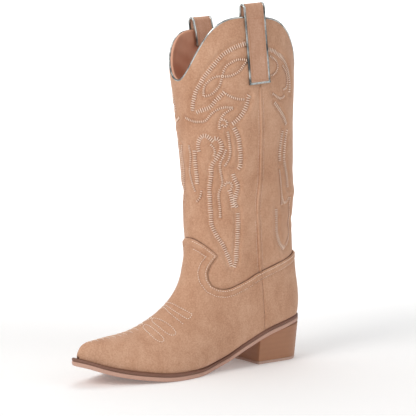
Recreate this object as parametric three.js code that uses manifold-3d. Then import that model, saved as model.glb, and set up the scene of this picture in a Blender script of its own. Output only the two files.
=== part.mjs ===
// A left cowboy boot as separate solids: sole unit, upper panels, linings, silver trims and an
// inner-side zip with a running slider and a swinging puller. Millimetres, +Z up.
//
// The boot is worked out in F (forward, to the toe), S (sideways, to the outer side) and Z.
// The model's axes are X = S, Y = -F, Z. The last step moves the origin to the bottom centre of
// the bounding box.

import * as THREE from 'three';
import { mergeVertices } from 'three/addons/utils/BufferGeometryUtils.js';
import Module from 'manifold-3d';

const wasm = await Module();
wasm.setup();

// ---------------------------------------------------------------- driving dimensions

// The outer surface is lofted through these sections, from the toe up to the topline. Each section
// lies in a plane that holds the S axis and runs from a ridge point (Ff, Zf) to a back or bottom
// point (Fb, Zb). outer and inner are half-widths, mid is where the widest place lies between the
// two points, nf and nb are the roundness of the ridge and back halves, lean shifts the ridge.
const sections = [
  // v    Ff     Zf    Fb    Zb   outer inner mid   nf    nb   lean
  [0.00, 271.0, 32.0, 270.0, 16, 2.5, 2.5, 0.45, 2.00, 2.6, 0],
  [0.35, 266.0, 38.5, 262.0, 9, 8.5, 8.5, 0.42, 2.10, 2.8, 0],
  [1.00, 252.0, 42.5, 247.0, 2, 17, 17, 0.40, 2.20, 2.8, 0],
  [2.00, 230.0, 44.0, 222.0, -4, 28, 29, 0.38, 2.20, 2.9, 1],
  [3.00, 207.0, 47.0, 196.0, -8, 38, 38, 0.36, 1.90, 3.0, 2],
  [4.00, 184.0, 56.0, 166.0, -8, 41, 37, 0.34, 1.75, 3.0, 3],
  [5.00, 165.5, 68.0, 131.0, 4, 38, 33, 0.34, 1.70, 3.0, 3],
  [6.00, 152.0, 83.0, 88.0, 12, 35, 32, 0.36, 1.75, 2.8, 2],
  [7.00, 143.5, 102.0, 38.0, 16, 34, 33, 0.40, 1.85, 2.6, 1],
  [8.00, 139.5, 124.0, 2.0, 42, 35, 35, 0.45, 2.00, 2.4, 0],
  [9.00, 137.0, 146.0, 2.0, 88, 37, 37, 0.50, 2.10, 2.3, 0],
  [10.0, 136.0, 172.0, 9.5, 128, 40, 40, 0.50, 2.10, 2.2, 0],
  [11.0, 139.0, 205.0, 9.0, 175, 43, 43, 0.50, 2.00, 2.2, 0],
  [12.0, 144.0, 245.0, 10.0, 232, 47, 47, 0.50, 2.00, 2.1, 0],
  [13.0, 149.5, 285.0, 10.0, 282, 50, 50, 0.50, 2.00, 2.1, 0],
  [14.0, 154.0, 327.0, 11.0, 327, 52, 52, 0.50, 2.00, 2.1, 0],
  [15.0, 157.0, 372.0, 11.5, 372, 52.5, 52.5, 0.50, 2.00, 2.1, 0],
];
const sectionRows = 27;
const sectionColumns = 28;

// Feather line: the height at which the upper meets the welt, heel to toe (F, Z).
const featherPoints = [
  [-10, 49.5], [0, 48], [20, 45.8], [37, 43], [60, 37.6], [81, 29.7], [95, 23.6],
  [109, 15.9], [125, 10], [145, 7.6], [165, 7.5], [190, 8.1], [206, 10], [236, 15.3],
  [258, 22.2], [270, 27], [285, 33.5],
];

// Topline: side peaks and the dips at front and back, with the sharpness of each fall.
const toplinePeak = { outer: 363, inner: 352.5 };
const toplineDip = { front: 298, back: 295 };
const toplineFall = { outer: 2.6, inner: 1.5, back: 1 };

// Top edge of the vamp from the ridge to the side seam, then of the counter to the heel (F, Z).
const vampEdge = [
  [160, 137], [137.6, 136.2], [133.2, 132], [129.7, 129], [125.5, 125], [119.4, 118.8],
  [123, 113.6], [126.2, 108.1], [128.2, 101], [127.9, 94.4], [124.9, 87.8], [119.2, 84.5],
  [111.9, 83.4], [104.2, 84.7], [96.3, 87.9], [87.1, 91.9], [77, 97.5],
  [66.4, 101.4], [48.7, 106.8], [30, 112], [10, 117], [-20, 121],
];
const liningEdge = [[160, 128], [137, 127], [77, 97], [10, 109], [-20, 110]];

// Side seams between the front and back panels, going up (F, Z).
const zipFoot = new THREE.Vector3(66, -32.9, 42);
const zipHead = new THREE.Vector3(79.8, -39.6, 152);
const outerSeam = [
  [61, 0], [62.5, 30], [64.5, 59], [67.5, 80.5], [71.5, 99.5], [75.5, 130], [79.5, 160],
  [80, 175], [78.5, 195], [80.7, 247], [85.3, 295], [88.5, 363], [89.5, 400],
];
const innerSeam = [
  [62, 0], [zipFoot.x, zipFoot.z], [zipHead.x, zipHead.z], [81.4, 195], [84.9, 247],
  [88.6, 295], [91, 363], [92, 400],
];

// Layers of the upper, as depths below the outer surface.
const gap = 0.3;
const leather = { outside: 0, inside: 1.6 };
const stiffening = { outside: 1.9, inside: 2.8 };
const lining = { outside: 3.1, inside: 4.1 };
const weltStrip = { outside: -0.7, inside: 1.6, halfWidth: 1.25 };
const toePuffBack = 212;
const stiffenerFront = 54;
const stiffenerTop = 92;

// Sole unit.
const weltThickness = 3;
const weltInset = 7;
const outsoleThickness = { forepart: 4.3, heelSeat: 4.2 };
const outsoleThinning = { from: 90, to: 58 };
const weltReach = { waist: 1.6, ball: 3.4, toe: 6.5 };
const insoleThickness = 2.3;
const sockThickness = 1.5;
const insoleInset = 1.9;
const toeStart = 0.12;
const shankSize = { from: 40, to: 158, halfWidth: 7, thickness: 1.8 };
const fillerSpan = { from: 96, to: 258 };
const heel = {
  breast: 66, round: 30, roundness: 2.3, height: 45,
  foot: { back: 4.7, halfWidth: 26 }, seat: { back: 1, halfWidth: 30.5 },
};
const liftThickness = 3;
const nailRadius = 0.8;
const nailPlaces = [[17, 13], [17, -13], [49, 17], [49, -17]];
const screwRadius = 2.2;
const screwPlace = [32, 0];
const fixingFoot = 12;

// Trims.
const piping = { outside: 0.3, inside: -4.4, thickness: 1.5, bevel: 0.8 };
const strap = {
  footF: { outer: 86.5, inner: 77.5 }, headF: { outer: 94.5, inner: 84.5 }, length: 68.5,
  halfWidth: 12.7, edge: 2, thickness: 1.6,
  outside: 0.6, inside: -7.2, arch: 81.5, innerLeg: 34,
};

// Zip, in its own frame: u up along the teeth, v across them, w outward from the leather.
const slotHalfWidth = 4.3;
const tape = { from: 2.2, to: 3.9, low: -1.9, high: -1.3 };
const teeth = { from: 0.7, to: 1.9, low: -2.4, high: -0.7 };
const teethRun = { from: 7, to: 108.5 };
const guard = { halfWidth: 9, low: -7.6, high: -6.8, inset: 2 };
const slider = { at: 103, halfLength: 5.5, halfWidth: 3.4, top: 0.9, bottom: -0.4 };
const sliderInside = { top: -2.7, bottom: -4, halfWidth: 3 };
const hinge = { u: 0, w: 2.5, hole: 1.15, lugHalfWidth: 0.95, lugRadius: 2 };
const puller = { length: 16, halfWidth: 3.6, neck: 2.2, window: 1.35, thickness: 1.1 };

// ---------------------------------------------------------------- curves and the outer surface

function naturalSpline(xs, ys) {
  const n = xs.length;
  const curve = new Array(n).fill(0);
  const slope = new Array(n).fill(0);
  for (let i = 1; i < n - 1; i += 1) {
    const before = xs[i] - xs[i - 1];
    const after = xs[i + 1] - xs[i];
    const bend = 6 * ((ys[i + 1] - ys[i]) / after - (ys[i] - ys[i - 1]) / before);
    const pivot = 2 * (before + after) - before * slope[i - 1];
    slope[i] = after / pivot;
    curve[i] = (bend - before * curve[i - 1]) / pivot;
  }
  for (let i = n - 2; i > 0; i -= 1) {
    curve[i] -= slope[i] * curve[i + 1];
  }
  return (x) => {
    let i = 0;
    while (i < n - 2 && x > xs[i + 1]) i += 1;
    const h = xs[i + 1] - xs[i];
    const a = (xs[i + 1] - x) / h;
    const b = (x - xs[i]) / h;
    const bulge = ((a ** 3 - a) * curve[i] + (b ** 3 - b) * curve[i + 1]) * h * h / 6;
    return a * ys[i] + b * ys[i + 1] + bulge;
  };
}

function mix(a, b, t) {
  return a + (b - a) * THREE.MathUtils.clamp(t, 0, 1);
}

function findZero(fn, low, high) {
  const sign = Math.sign(fn(low));
  let a = low;
  let b = high;
  for (let i = 0; i < 40; i += 1) {
    const middle = (a + b) / 2;
    if (Math.sign(fn(middle)) === sign) a = middle;
    else b = middle;
  }
  return (a + b) / 2;
}

const sectionAt = sections[0].slice(1).map((_, k) => naturalSpline(
  sections.map((row) => row[0]),
  sections.map((row) => row[k + 1]),
));
const feather = naturalSpline(featherPoints.map((p) => p[0]), featherPoints.map((p) => p[1]));
const lastV = sections[sections.length - 1][0];

function bent(x, roundness) {
  return Math.sign(x) * Math.abs(x) ** (2 / roundness);
}

// A point (F, S, Z) of the outer surface. turn is 0 on the ridge, a quarter turn on the outer side,
// half a turn at the back or bottom.
function surfacePoint(v, turn) {
  const [ff, zf, fb, zb, outer, inner, mid, nf, nb, lean] = sectionAt.map((fn) => fn(v));
  const c = Math.cos(turn);
  const s = Math.sin(turn);
  const roundness = c >= 0 ? nf : nb;
  const along = mid + (c >= 0 ? 1 - mid : mid) * bent(c, roundness);
  const side = (s >= 0 ? outer : inner) * bent(s, roundness);
  return new THREE.Vector3(
    mix(fb, ff, along),
    side - lean * THREE.MathUtils.clamp(along, 0, 1) ** 2,
    mix(zb, zf, along),
  );
}

function surfaceNormal(v, turn) {
  const step = 0.01;
  const up = surfacePoint(Math.min(v + step, lastV), turn);
  up.sub(surfacePoint(Math.max(v - step, 0), turn));
  const around = surfacePoint(v, turn + step).sub(surfacePoint(v, turn - step));
  const normal = new THREE.Vector3().crossVectors(around, up).normalize();
  const middle = surfacePoint(v, 0).add(surfacePoint(v, Math.PI)).multiplyScalar(0.5);
  if (normal.dot(surfacePoint(v, turn).sub(middle)) < 0) normal.negate();
  return normal;
}

function skin(v, turn, depth) {
  return surfacePoint(v, turn).addScaledVector(surfaceNormal(v, turn), -depth);
}

function toplineHeight(turn) {
  const peak = Math.sin(turn) >= 0 ? toplinePeak.outer : toplinePeak.inner;
  const front = Math.cos(turn) > 0;
  const dip = front ? toplineDip.front : toplineDip.back;
  const side = Math.sin(turn) >= 0 ? toplineFall.outer : toplineFall.inner;
  const fall = front ? side : toplineFall.back;
  return peak - (peak - dip) * Math.cos(turn) ** (2 * fall);
}

function toplineV(turn) {
  const height = toplineHeight(turn);
  return findZero((v) => surfacePoint(v, turn).z - height, 12, lastV);
}

// ---------------------------------------------------------------- solids

function world(p) {
  return new THREE.Vector3(p.y, -p.x, p.z);
}

// A closed surface through rings of points. ends is 'capped' or 'joined' (a hoop).
function ringSurface(rings, ends = 'capped') {
  const count = rings[0].length;
  const points = rings.flat();
  const faces = [];
  const last = ends === 'joined' ? rings.length : rings.length - 1;
  for (let i = 0; i < last; i += 1) {
    const low = i * count;
    const high = ((i + 1) % rings.length) * count;
    for (let j = 0; j < count; j += 1) {
      const k = (j + 1) % count;
      faces.push(low + j, low + k, high + k, low + j, high + k, high + j);
    }
  }
  if (ends === 'capped') {
    [0, rings.length - 1].forEach((ring) => {
      const centre = new THREE.Vector3();
      rings[ring].forEach((p) => centre.addScaledVector(p, 1 / count));
      points.push(centre);
      for (let j = 0; j < count; j += 1) {
        const corners = [ring * count + j, ring * count + ((j + 1) % count)];
        if (ring === 0) corners.reverse();
        faces.push(points.length - 1, ...corners);
      }
    });
  }
  let volume = 0;
  for (let i = 0; i < faces.length; i += 3) {
    const [a, b, c] = [points[faces[i]], points[faces[i + 1]], points[faces[i + 2]]];
    volume += a.dot(new THREE.Vector3().crossVectors(b, c));
  }
  if (volume < 0) faces.reverse();
  const geometry = new THREE.BufferGeometry().setFromPoints(points);
  geometry.setIndex(faces);
  return geometry;
}

function toManifold(geometry) {
  const bare = geometry.clone();
  bare.deleteAttribute('normal');
  bare.deleteAttribute('uv');
  const merged = mergeVertices(bare, 1e-4);
  return new wasm.Manifold(new wasm.Mesh({
    numProp: 3,
    vertProperties: new Float32Array(merged.attributes.position.array),
    triVerts: new Uint32Array(merged.index.array),
  }));
}

function toGeometry(solid) {
  const mesh = solid.getMesh();
  const geometry = new THREE.BufferGeometry();
  geometry.setAttribute('position', new THREE.BufferAttribute(mesh.vertProperties, 3));
  geometry.setIndex(new THREE.BufferAttribute(mesh.triVerts, 1));
  geometry.computeVertexNormals();
  return geometry;
}

function extruded(points, depth, holes = []) {
  const shape = new THREE.Shape(points.map(([x, y]) => new THREE.Vector2(x, y)));
  holes.forEach((hole) => shape.holes.push(new THREE.Path(hole)));
  return new THREE.ExtrudeGeometry(shape, { depth, bevelEnabled: false, curveSegments: 8 });
}

// An (F, Z) outline carried sideways from S = low to S = high.
function sidePrism(outline, low, high) {
  const geometry = extruded(outline, high - low);
  geometry.applyMatrix4(new THREE.Matrix4().set(
    0, 0, -1, high,
    -1, 0, 0, 0,
    0, 1, 0, 0,
    0, 0, 0, 1,
  ));
  return toManifold(geometry);
}

// An (F, S) outline carried up from z = low to z = high.
function planPrism(outline, low, high) {
  const geometry = extruded(outline.map(([f, s]) => [s, -f]), high - low);
  geometry.translate(0, 0, low);
  return toManifold(geometry);
}

const sideReach = 90;
const farFront = 320;
const farBack = -40;
const farDown = -60;
const farUp = 440;
const soleSpan = { from: -25, to: 295 };
const planSpan = { low: -10, high: 80 };

function twoSided(outerOutline, innerOutline) {
  return sidePrism(outerOutline, 0, sideReach).add(sidePrism(innerOutline, -sideReach, 0));
}

// Moves a polyline sideways: a positive distance goes to its left.
function offsetLine(points, distance) {
  return points.map((p, i) => {
    const before = points[Math.max(i - 1, 0)];
    const after = points[Math.min(i + 1, points.length - 1)];
    const a = new THREE.Vector2(p[0] - before[0], p[1] - before[1]).normalize();
    const b = new THREE.Vector2(after[0] - p[0], after[1] - p[1]).normalize();
    const along = a.clone().add(b).normalize();
    const single = i === 0 ? b : a;
    const mitre = distance / Math.max(Math.abs(along.dot(single)), 0.4);
    return [p[0] - along.y * mitre, p[1] + along.x * mitre];
  });
}

// ---------------------------------------------------------------- cutters for the upper

const solids = {};

const depthSolids = new Map();

// The whole upper as one solid, with its surface at this depth below the outside.
function body(depth) {
  if (!depthSolids.has(depth)) {
    const start = toeStart * Math.max(depth, 0);
    const rings = Array.from({ length: sectionRows + 1 }, (_, i) => {
      const v = Math.max(start, lastV * i / sectionRows);
      return Array.from({ length: sectionColumns }, (__, j) => (
        world(skin(v, 2 * Math.PI * (j + 0.5) / sectionColumns, depth))
      ));
    });
    depthSolids.set(depth, toManifold(ringSurface(rings)));
  }
  return depthSolids.get(depth);
}

function layer({ outside, inside }) {
  return body(outside).subtract(body(inside));
}

function inFront(distance) {
  return twoSided(...[outerSeam, innerSeam].map((seam) => [
    ...offsetLine(seam, -distance), [farFront, farUp], [farFront, farDown],
  ]));
}

function behind(distance) {
  return twoSided(...[outerSeam, innerSeam].map((seam) => [
    ...offsetLine(seam, distance), [farBack, farUp], [farBack, farDown],
  ]));
}

function below(edge, distance) {
  const line = offsetLine(edge, distance);
  const outline = [[farFront, line[0][1]], ...line, [farBack, farDown], [farFront, farDown]];
  return sidePrism(outline, -sideReach, sideReach);
}

function above(edge, distance) {
  const line = offsetLine(edge, -distance);
  const outline = [[farFront, line[0][1]], ...line, [farBack, farUp], [farFront, farUp]];
  return sidePrism(outline, -sideReach, sideReach);
}

function featherRun(rise) {
  const step = 11;
  const points = [];
  for (let f = -18; f < 292; f += step) {
    const amount = typeof rise === 'function' ? rise(f) : rise;
    points.push([f, feather(f) + amount]);
  }
  return points;
}

// The height that the upper can fill: from the welt to just over the highest topline.
const upperTop = toplinePeak.outer + 3;
const upperSpan = sidePrism(
  [...featherRun(gap), [farFront, upperTop], [farBack, upperTop]],
  -sideReach,
  sideReach,
);

const toplineSteps = 56;

// A point of the topline with the directions out of the leather and up across the edge.
function toplineFrame(turn) {
  const at = (angle) => surfacePoint(toplineV(angle), angle);
  const along = at(turn + 0.02).sub(at(turn - 0.02)).normalize();
  const out = surfaceNormal(toplineV(turn), turn);
  const up = new THREE.Vector3().crossVectors(along, out).normalize();
  if (up.z < 0) up.negate();
  return { point: at(turn), out, up };
}

// A hoop round the topline with this section of (out, up, raised) offsets.
function toplineHoop(section) {
  const rings = Array.from({ length: toplineSteps }, (_, i) => {
    const { point, out, up } = toplineFrame(2 * Math.PI * i / toplineSteps);
    return section.map(([w, h, raised]) => {
      const p = point.clone().addScaledVector(out, w).addScaledVector(up, h);
      p.z += raised;
      return world(p);
    });
  });
  return toManifold(ringSurface(rings, 'joined'));
}

// All that stands above the topline, less a margin below it.
function overTopline(margin) {
  const [wide, deep, tall] = [14, -10, 130];
  return toplineHoop([
    [wide, -margin, 0], [piping.outside, -margin, 0], [piping.inside, -margin, 0],
    [deep, -margin, 0], [deep, -margin, tall], [wide, -margin, tall],
  ]);
}

function bandAlong(seam, halfWidth, low, high) {
  const inside = seam.filter(([, z]) => z > low && z < high);
  const at = naturalSpline(seam.map((p) => p[1]), seam.map((p) => p[0]));
  const line = [[at(low), low], ...inside, [at(high), high]];
  return [...offsetLine(line, halfWidth), ...offsetLine(line, -halfWidth).reverse()];
}

const strapFootZ = {
  outer: toplinePeak.outer - strap.length,
  inner: toplinePeak.inner - strap.length,
};
const weltBands = {
  outer: [90, strapFootZ.outer - strap.edge - 1],
  inner: [zipHead.z + 3, strapFootZ.inner - strap.edge - 1],
};

function weltRun(halfWidth, spare) {
  const outer = bandAlong(outerSeam, halfWidth, weltBands.outer[0], weltBands.outer[1] + spare);
  const inner = bandAlong(innerSeam, halfWidth, weltBands.inner[0], weltBands.inner[1] + spare);
  return { outer: sidePrism(outer, 0, sideReach), inner: sidePrism(inner, -sideReach, 0) };
}

function zipSlot() {
  const line = [[zipFoot.x, zipFoot.z - 1], [zipHead.x, zipHead.z + 2]];
  const outline = [
    ...offsetLine(line, slotHalfWidth),
    ...offsetLine(line, -slotHalfWidth).reverse(),
  ];
  return sidePrism(outline, -sideReach, 0);
}

// ---------------------------------------------------------------- upper

function makeUpper() {
  const spare = overTopline(piping.thickness + gap);
  const slot = zipSlot();
  const weltGroove = weltRun(weltStrip.halfWidth + gap, gap);
  const front = inFront(gap / 2);
  const back = behind(gap / 2);
  const shell = layer(leather).intersect(upperSpan).subtract(slot);
  const panels = shell.subtract(weltGroove.outer.intersect(above(vampEdge, 0)))
    .subtract(weltGroove.inner).subtract(spare);
  solids.vamp = shell.intersect(front).intersect(below(vampEdge, 0));
  solids.counter = shell.intersect(back).intersect(below(vampEdge, 0));
  solids.shaft_front = panels.intersect(front).intersect(above(vampEdge, gap));
  solids.shaft_back = panels.intersect(back).intersect(above(vampEdge, gap));

  const inner = layer(lining).intersect(upperSpan).subtract(slot).subtract(spare);
  solids.vamp_lining = inner.intersect(front).intersect(below(liningEdge, 0));
  solids.counter_lining = inner.intersect(back).intersect(below(liningEdge, 0));
  solids.shaft_lining_front = inner.intersect(front).intersect(above(liningEdge, gap));
  solids.shaft_lining_back = inner.intersect(back).intersect(above(liningEdge, gap));

  const stiff = layer(stiffening).intersect(upperSpan);
  const toeEnd = [[toePuffBack, farDown], [farFront, farDown], [farFront, farUp], [toePuffBack, farUp]];
  solids.toe_puff = stiff.intersect(sidePrism(toeEnd, -sideReach, sideReach));
  const heelEnd = [
    [farBack, farDown], [stiffenerFront, farDown], [stiffenerFront, stiffenerTop - 20],
    [stiffenerFront - 20, stiffenerTop], [farBack, stiffenerTop],
  ];
  solids.heel_stiffener = stiff.intersect(sidePrism(heelEnd, -sideReach, sideReach));

  const strips = weltRun(weltStrip.halfWidth, 0);
  const stripLayer = layer(weltStrip);
  solids.side_welt_lateral = stripLayer.intersect(strips.outer).intersect(above(vampEdge, gap));
  solids.side_welt_medial = stripLayer.intersect(strips.inner);
}

// The silver edge: a hoop that caps the leather and the lining all round the topline.
function makePiping() {
  const { outside, inside, thickness, bevel } = piping;
  solids.topline_piping = toplineHoop([
    [outside, -thickness, 0], [outside, -bevel / 2, 0], [outside - bevel, 0, 0],
    [inside + bevel, 0, 0], [inside, -bevel / 2, 0], [inside, -thickness, 0],
  ]);
}

// ---------------------------------------------------------------- sole unit

// The plan outline (F, S) where the surface at this depth meets the feather line raised by rise.
function featherLoop(depth, rise) {
  const steps = 26;
  const start = toeStart * depth;
  const height = (v, turn) => {
    const p = skin(v, turn, depth);
    return p.z - feather(p.x) - rise;
  };
  const end = findZero((v) => height(v, Math.PI), 7, 9);
  const side = (sign) => Array.from({ length: steps }, (_, i) => {
    const v = mix(start, end - 0.004, (1 - Math.cos(Math.PI * i / (steps - 1))) / 2);
    const turn = findZero((t) => height(v, sign * t), 0.1, Math.PI);
    const p = skin(v, sign * turn, depth);
    return [p.x, p.y];
  });
  return [...side(1), ...side(-1).reverse()];
}

function distanceToLoop(f, s, loop) {
  const point = new THREE.Vector3(f, s, 0);
  return Math.min(...loop.map(([af, as], i) => {
    const [bf, bs] = loop[(i + 1) % loop.length];
    const edge = new THREE.Line3(new THREE.Vector3(af, as, 0), new THREE.Vector3(bf, bs, 0));
    return edge.closestPointToPoint(point, true, new THREE.Vector3()).distanceTo(point);
  }));
}

// Moves a plan outline outward. Points that fold over at a tight end are dropped.
function grow(loop, reach) {
  const slack = 0.1;
  return loop.map(([f, s], i) => {
    const [bf, bs] = loop[(i + loop.length - 1) % loop.length];
    const [af, as] = loop[(i + 1) % loop.length];
    const along = new THREE.Vector2(af - bf, as - bs).normalize();
    const amount = typeof reach === 'function' ? reach(f) : reach;
    return [f + along.y * amount, s - along.x * amount, amount];
  }).filter(([f, s, amount]) => distanceToLoop(f, s, loop) > Math.abs(amount) - slack)
    .map(([f, s]) => [f, s]);
}

function soleReach(f) {
  const ball = mix(weltReach.waist, weltReach.ball, (f - 110) / 90);
  return mix(ball, weltReach.toe, (f - 200) / 70);
}

function slab(topRise, bottomRise, from = farBack, to = farFront) {
  const keep = ([f]) => f > from && f < to;
  const edges = (rise) => [Math.max(from, soleSpan.from), Math.min(to, soleSpan.to)].map((f) => (
    [f, feather(f) + (typeof rise === 'function' ? rise(f) : rise)]
  ));
  const run = (rise) => [edges(rise)[0], ...featherRun(rise).filter(keep), edges(rise)[1]];
  const floor = run(bottomRise).map(([f, z]) => [f, Math.max(z, 0)]);
  return sidePrism([...floor, ...run(topRise).reverse()], -sideReach, sideReach);
}

function outsoleRise(f) {
  const span = outsoleThinning.from - outsoleThinning.to;
  const { heelSeat, forepart } = outsoleThickness;
  const thickness = mix(heelSeat, forepart, (f - outsoleThinning.to) / span);
  return -weltThickness - gap - thickness;
}

function heelRing(z) {
  const t = z / heel.height;
  const back = mix(heel.foot.back, heel.seat.back, t);
  const half = mix(heel.foot.halfWidth, heel.seat.halfWidth, t);
  const steps = 14;
  const round = Array.from({ length: steps + 1 }, (_, i) => {
    const turn = Math.PI * (i / steps - 0.5);
    const f = heel.round - (heel.round - back) * bent(Math.cos(turn), heel.roundness);
    return new THREE.Vector3(f, half * bent(Math.sin(turn), heel.roundness), z);
  });
  const corner = (side) => new THREE.Vector3(heel.breast, side * half, z);
  return [corner(-1), ...round, corner(1)].map(world);
}

function post(radius, [f, s], low, high) {
  const geometry = new THREE.CylinderGeometry(radius, radius, high - low, 12);
  geometry.rotateX(Math.PI / 2);
  geometry.translate(s, -f, (low + high) / 2);
  return toManifold(geometry);
}

function makeSole() {
  const plan = featherLoop(0, 0);
  const rim = planPrism(grow(plan, soleReach), planSpan.low, planSpan.high);
  const well = planPrism(grow(plan, -weltInset), planSpan.low, planSpan.high);
  solids.welt = rim.intersect(slab(0, -weltThickness)).subtract(well);
  let outsole = rim.intersect(slab(-weltThickness - gap, outsoleRise));

  const seatTop = heel.height + 8;
  const block = toManifold(ringSurface([heelRing(liftThickness + gap), heelRing(seatTop)]));
  let heelBlock = block.subtract(slab(60, (f) => outsoleRise(f) - gap));
  solids.heel_lift = toManifold(ringSurface([heelRing(0), heelRing(liftThickness)]));

  const fixings = [...nailPlaces.map((place) => [nailRadius, place]), [screwRadius, screwPlace]];
  fixings.forEach(([radius, place], i) => {
    const name = i < nailPlaces.length ? `heel_nail_${i + 1}` : 'heel_screw';
    const head = feather(place[0]) - weltThickness - 2 * gap;
    const hole = post(radius + gap, place, fixingFoot - gap, seatTop);
    solids[name] = post(radius, place, fixingFoot, head - 1);
    outsole = outsole.subtract(hole);
    heelBlock = heelBlock.subtract(hole);
  });
  solids.outsole = outsole;
  solids.heel_block = heelBlock;

  const cavity = planPrism(grow(plan, -weltInset - gap), planSpan.low, planSpan.high);
  const { from, to, halfWidth, thickness } = shankSize;
  const strip = (more) => sidePrism(
    [[from - more, -20], [to + more, -20], [to + more, 80], [from - more, 80]],
    -halfWidth - more,
    halfWidth + more,
  );
  solids.shank = slab(-weltThickness + 0.2 + thickness, -weltThickness + 0.2).intersect(strip(0));
  solids.bottom_filler = cavity.intersect(slab(-gap, -weltThickness, fillerSpan.from, fillerSpan.to))
    .subtract(strip(gap));

  const wall = lining.inside + gap;
  const boardPlan = grow(featherLoop(wall, 0), -insoleInset);
  solids.insole_board = planPrism(boardPlan, planSpan.low, planSpan.high)
    .intersect(slab(gap + insoleThickness, gap));
  const sockFoot = 2 * gap + insoleThickness;
  const sockPlan = grow(featherLoop(wall, sockFoot), -insoleInset);
  solids.sock_liner = planPrism(sockPlan, planSpan.low, planSpan.high)
    .intersect(slab(sockFoot + sockThickness, sockFoot));
}

// ---------------------------------------------------------------- pull straps

// A frame with its origin at the strap's foot: u runs up the strap, w outward, v across.
function strapFrame(side) {
  const which = side > 0 ? 'outer' : 'inner';
  const footZ = strapFootZ[which];
  const on = (f, z) => {
    const turnFor = (v) => findZero(
      (t) => surfacePoint(v, side * t).x - f, 0.8, 2.2,
    );
    const v = findZero((q) => surfacePoint(q, side * turnFor(q)).z - z, 11, lastV);
    return { point: surfacePoint(v, side * turnFor(v)), normal: surfaceNormal(v, side * turnFor(v)) };
  };
  const foot = on(strap.footF[which], footZ);
  const head = on(strap.headF[which], footZ + strap.length);
  const u = head.point.clone().sub(foot.point).normalize();
  const out = foot.normal.clone().add(head.normal);
  const w = out.addScaledVector(u, -out.dot(u)).normalize();
  const v = new THREE.Vector3().crossVectors(w, u);
  const basis = new THREE.Matrix4().makeBasis(world(v), world(w), world(u));
  return basis.setPosition(world(foot.point));
}

function strapProfile(foot) {
  const { outside, inside, thickness, arch, innerLeg } = strap;
  const middle = (outside + inside) / 2;
  const radius = (outside - inside) / 2;
  const centre = arch - radius - thickness;
  const arc = (r, from, to) => Array.from({ length: 9 }, (_, i) => {
    const turn = mix(from, to, i / 8);
    return [middle + r * Math.cos(turn), centre + r * Math.sin(turn)];
  });
  return [
    [outside, foot], [outside + thickness, foot],
    ...arc(radius + thickness, 0, Math.PI),
    [inside - thickness, arch - innerLeg], [inside, arch - innerLeg],
    ...arc(radius, Math.PI, 0),
  ];
}

// Carries a (w, u) outline across the strap from v = low to v = high, in the strap's frame.
function acrossStrap(outline, low, high) {
  const geometry = extruded(outline, high - low);
  geometry.applyMatrix4(new THREE.Matrix4().set(
    0, 0, 1, low,
    1, 0, 0, 0,
    0, 1, 0, 0,
    0, 0, 0, 1,
  ));
  return toManifold(geometry);
}

function makeStrap(side, name) {
  const { halfWidth, edge, outside, thickness } = strap;
  const frame = strapFrame(side);
  const inner = halfWidth - edge;
  const bar = [
    [outside, -edge - gap], [outside + thickness, -edge - gap],
    [outside + thickness, -gap], [outside, -gap],
  ];
  const place = (solid) => solid.transform(frame.toArray());
  solids[`pull_strap_${name}`] = place(acrossStrap(strapProfile(0), -inner + gap, inner - gap));
  const bands = [[-halfWidth, -inner], [inner, halfWidth]].map(([low, high]) => (
    acrossStrap(strapProfile(-edge - gap), low, high)
  ));
  const binding = bands[0].add(bands[1]).add(acrossStrap(bar, -halfWidth, halfWidth));
  solids[`strap_edging_${name}`] = place(binding);
}

// ---------------------------------------------------------------- zip

const zipLine = zipHead.clone().sub(zipFoot);
const zipLength = zipLine.length();
const zipUp = zipLine.normalize();
const zipOut = new THREE.Vector3(0, -1, 0);
zipOut.addScaledVector(zipUp, -zipOut.dot(zipUp)).normalize();
const zipAcross = new THREE.Vector3().crossVectors(zipOut, zipUp);
const zipFrame = new THREE.Matrix4()
  .makeBasis(world(zipAcross), world(zipOut), world(zipUp))
  .setPosition(world(zipFoot));

// A box in the zip's frame, from the low corner to the high corner (v, w, u).
function zipBox([v0, w0, u0], [v1, w1, u1]) {
  const geometry = new THREE.BoxGeometry(v1 - v0, w1 - w0, u1 - u0);
  geometry.translate((v0 + v1) / 2, (w0 + w1) / 2, (u0 + u1) / 2);
  return toManifold(geometry);
}

function inZip(solid) {
  return solid.transform(zipFrame.toArray());
}

function makeZipRows() {
  [['front', 1], ['rear', -1]].forEach(([name, side]) => {
    const pair = (a, b) => (side > 0 ? [a, b] : [-b, -a]);
    const [t0, t1] = pair(tape.from, tape.to);
    solids[`zip_tape_${name}`] = inZip(zipBox([t0, tape.low, 0.5], [t1, tape.high, zipLength]));
    const [r0, r1] = pair(teeth.from, teeth.to);
    solids[`zip_teeth_${name}`] = inZip(
      zipBox([r0, teeth.low, teethRun.from], [r1, teeth.high, teethRun.to]),
    );
    const stopFoot = teethRun.to + gap;
    solids[`zip_top_stop_${name}`] = inZip(
      zipBox([r0, teeth.low - gap, stopFoot], [r1, slider.bottom, stopFoot + 2]),
    );
  });
  solids.zip_bottom_stop = inZip(zipBox(
    [-teeth.to, teeth.low - gap, teethRun.from - 4],
    [teeth.to, slider.bottom, teethRun.from - gap],
  ));
  solids.zip_guard = inZip(zipBox(
    [-guard.halfWidth, guard.low, guard.inset],
    [guard.halfWidth, guard.high, zipLength - guard.inset],
  ));
}

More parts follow.
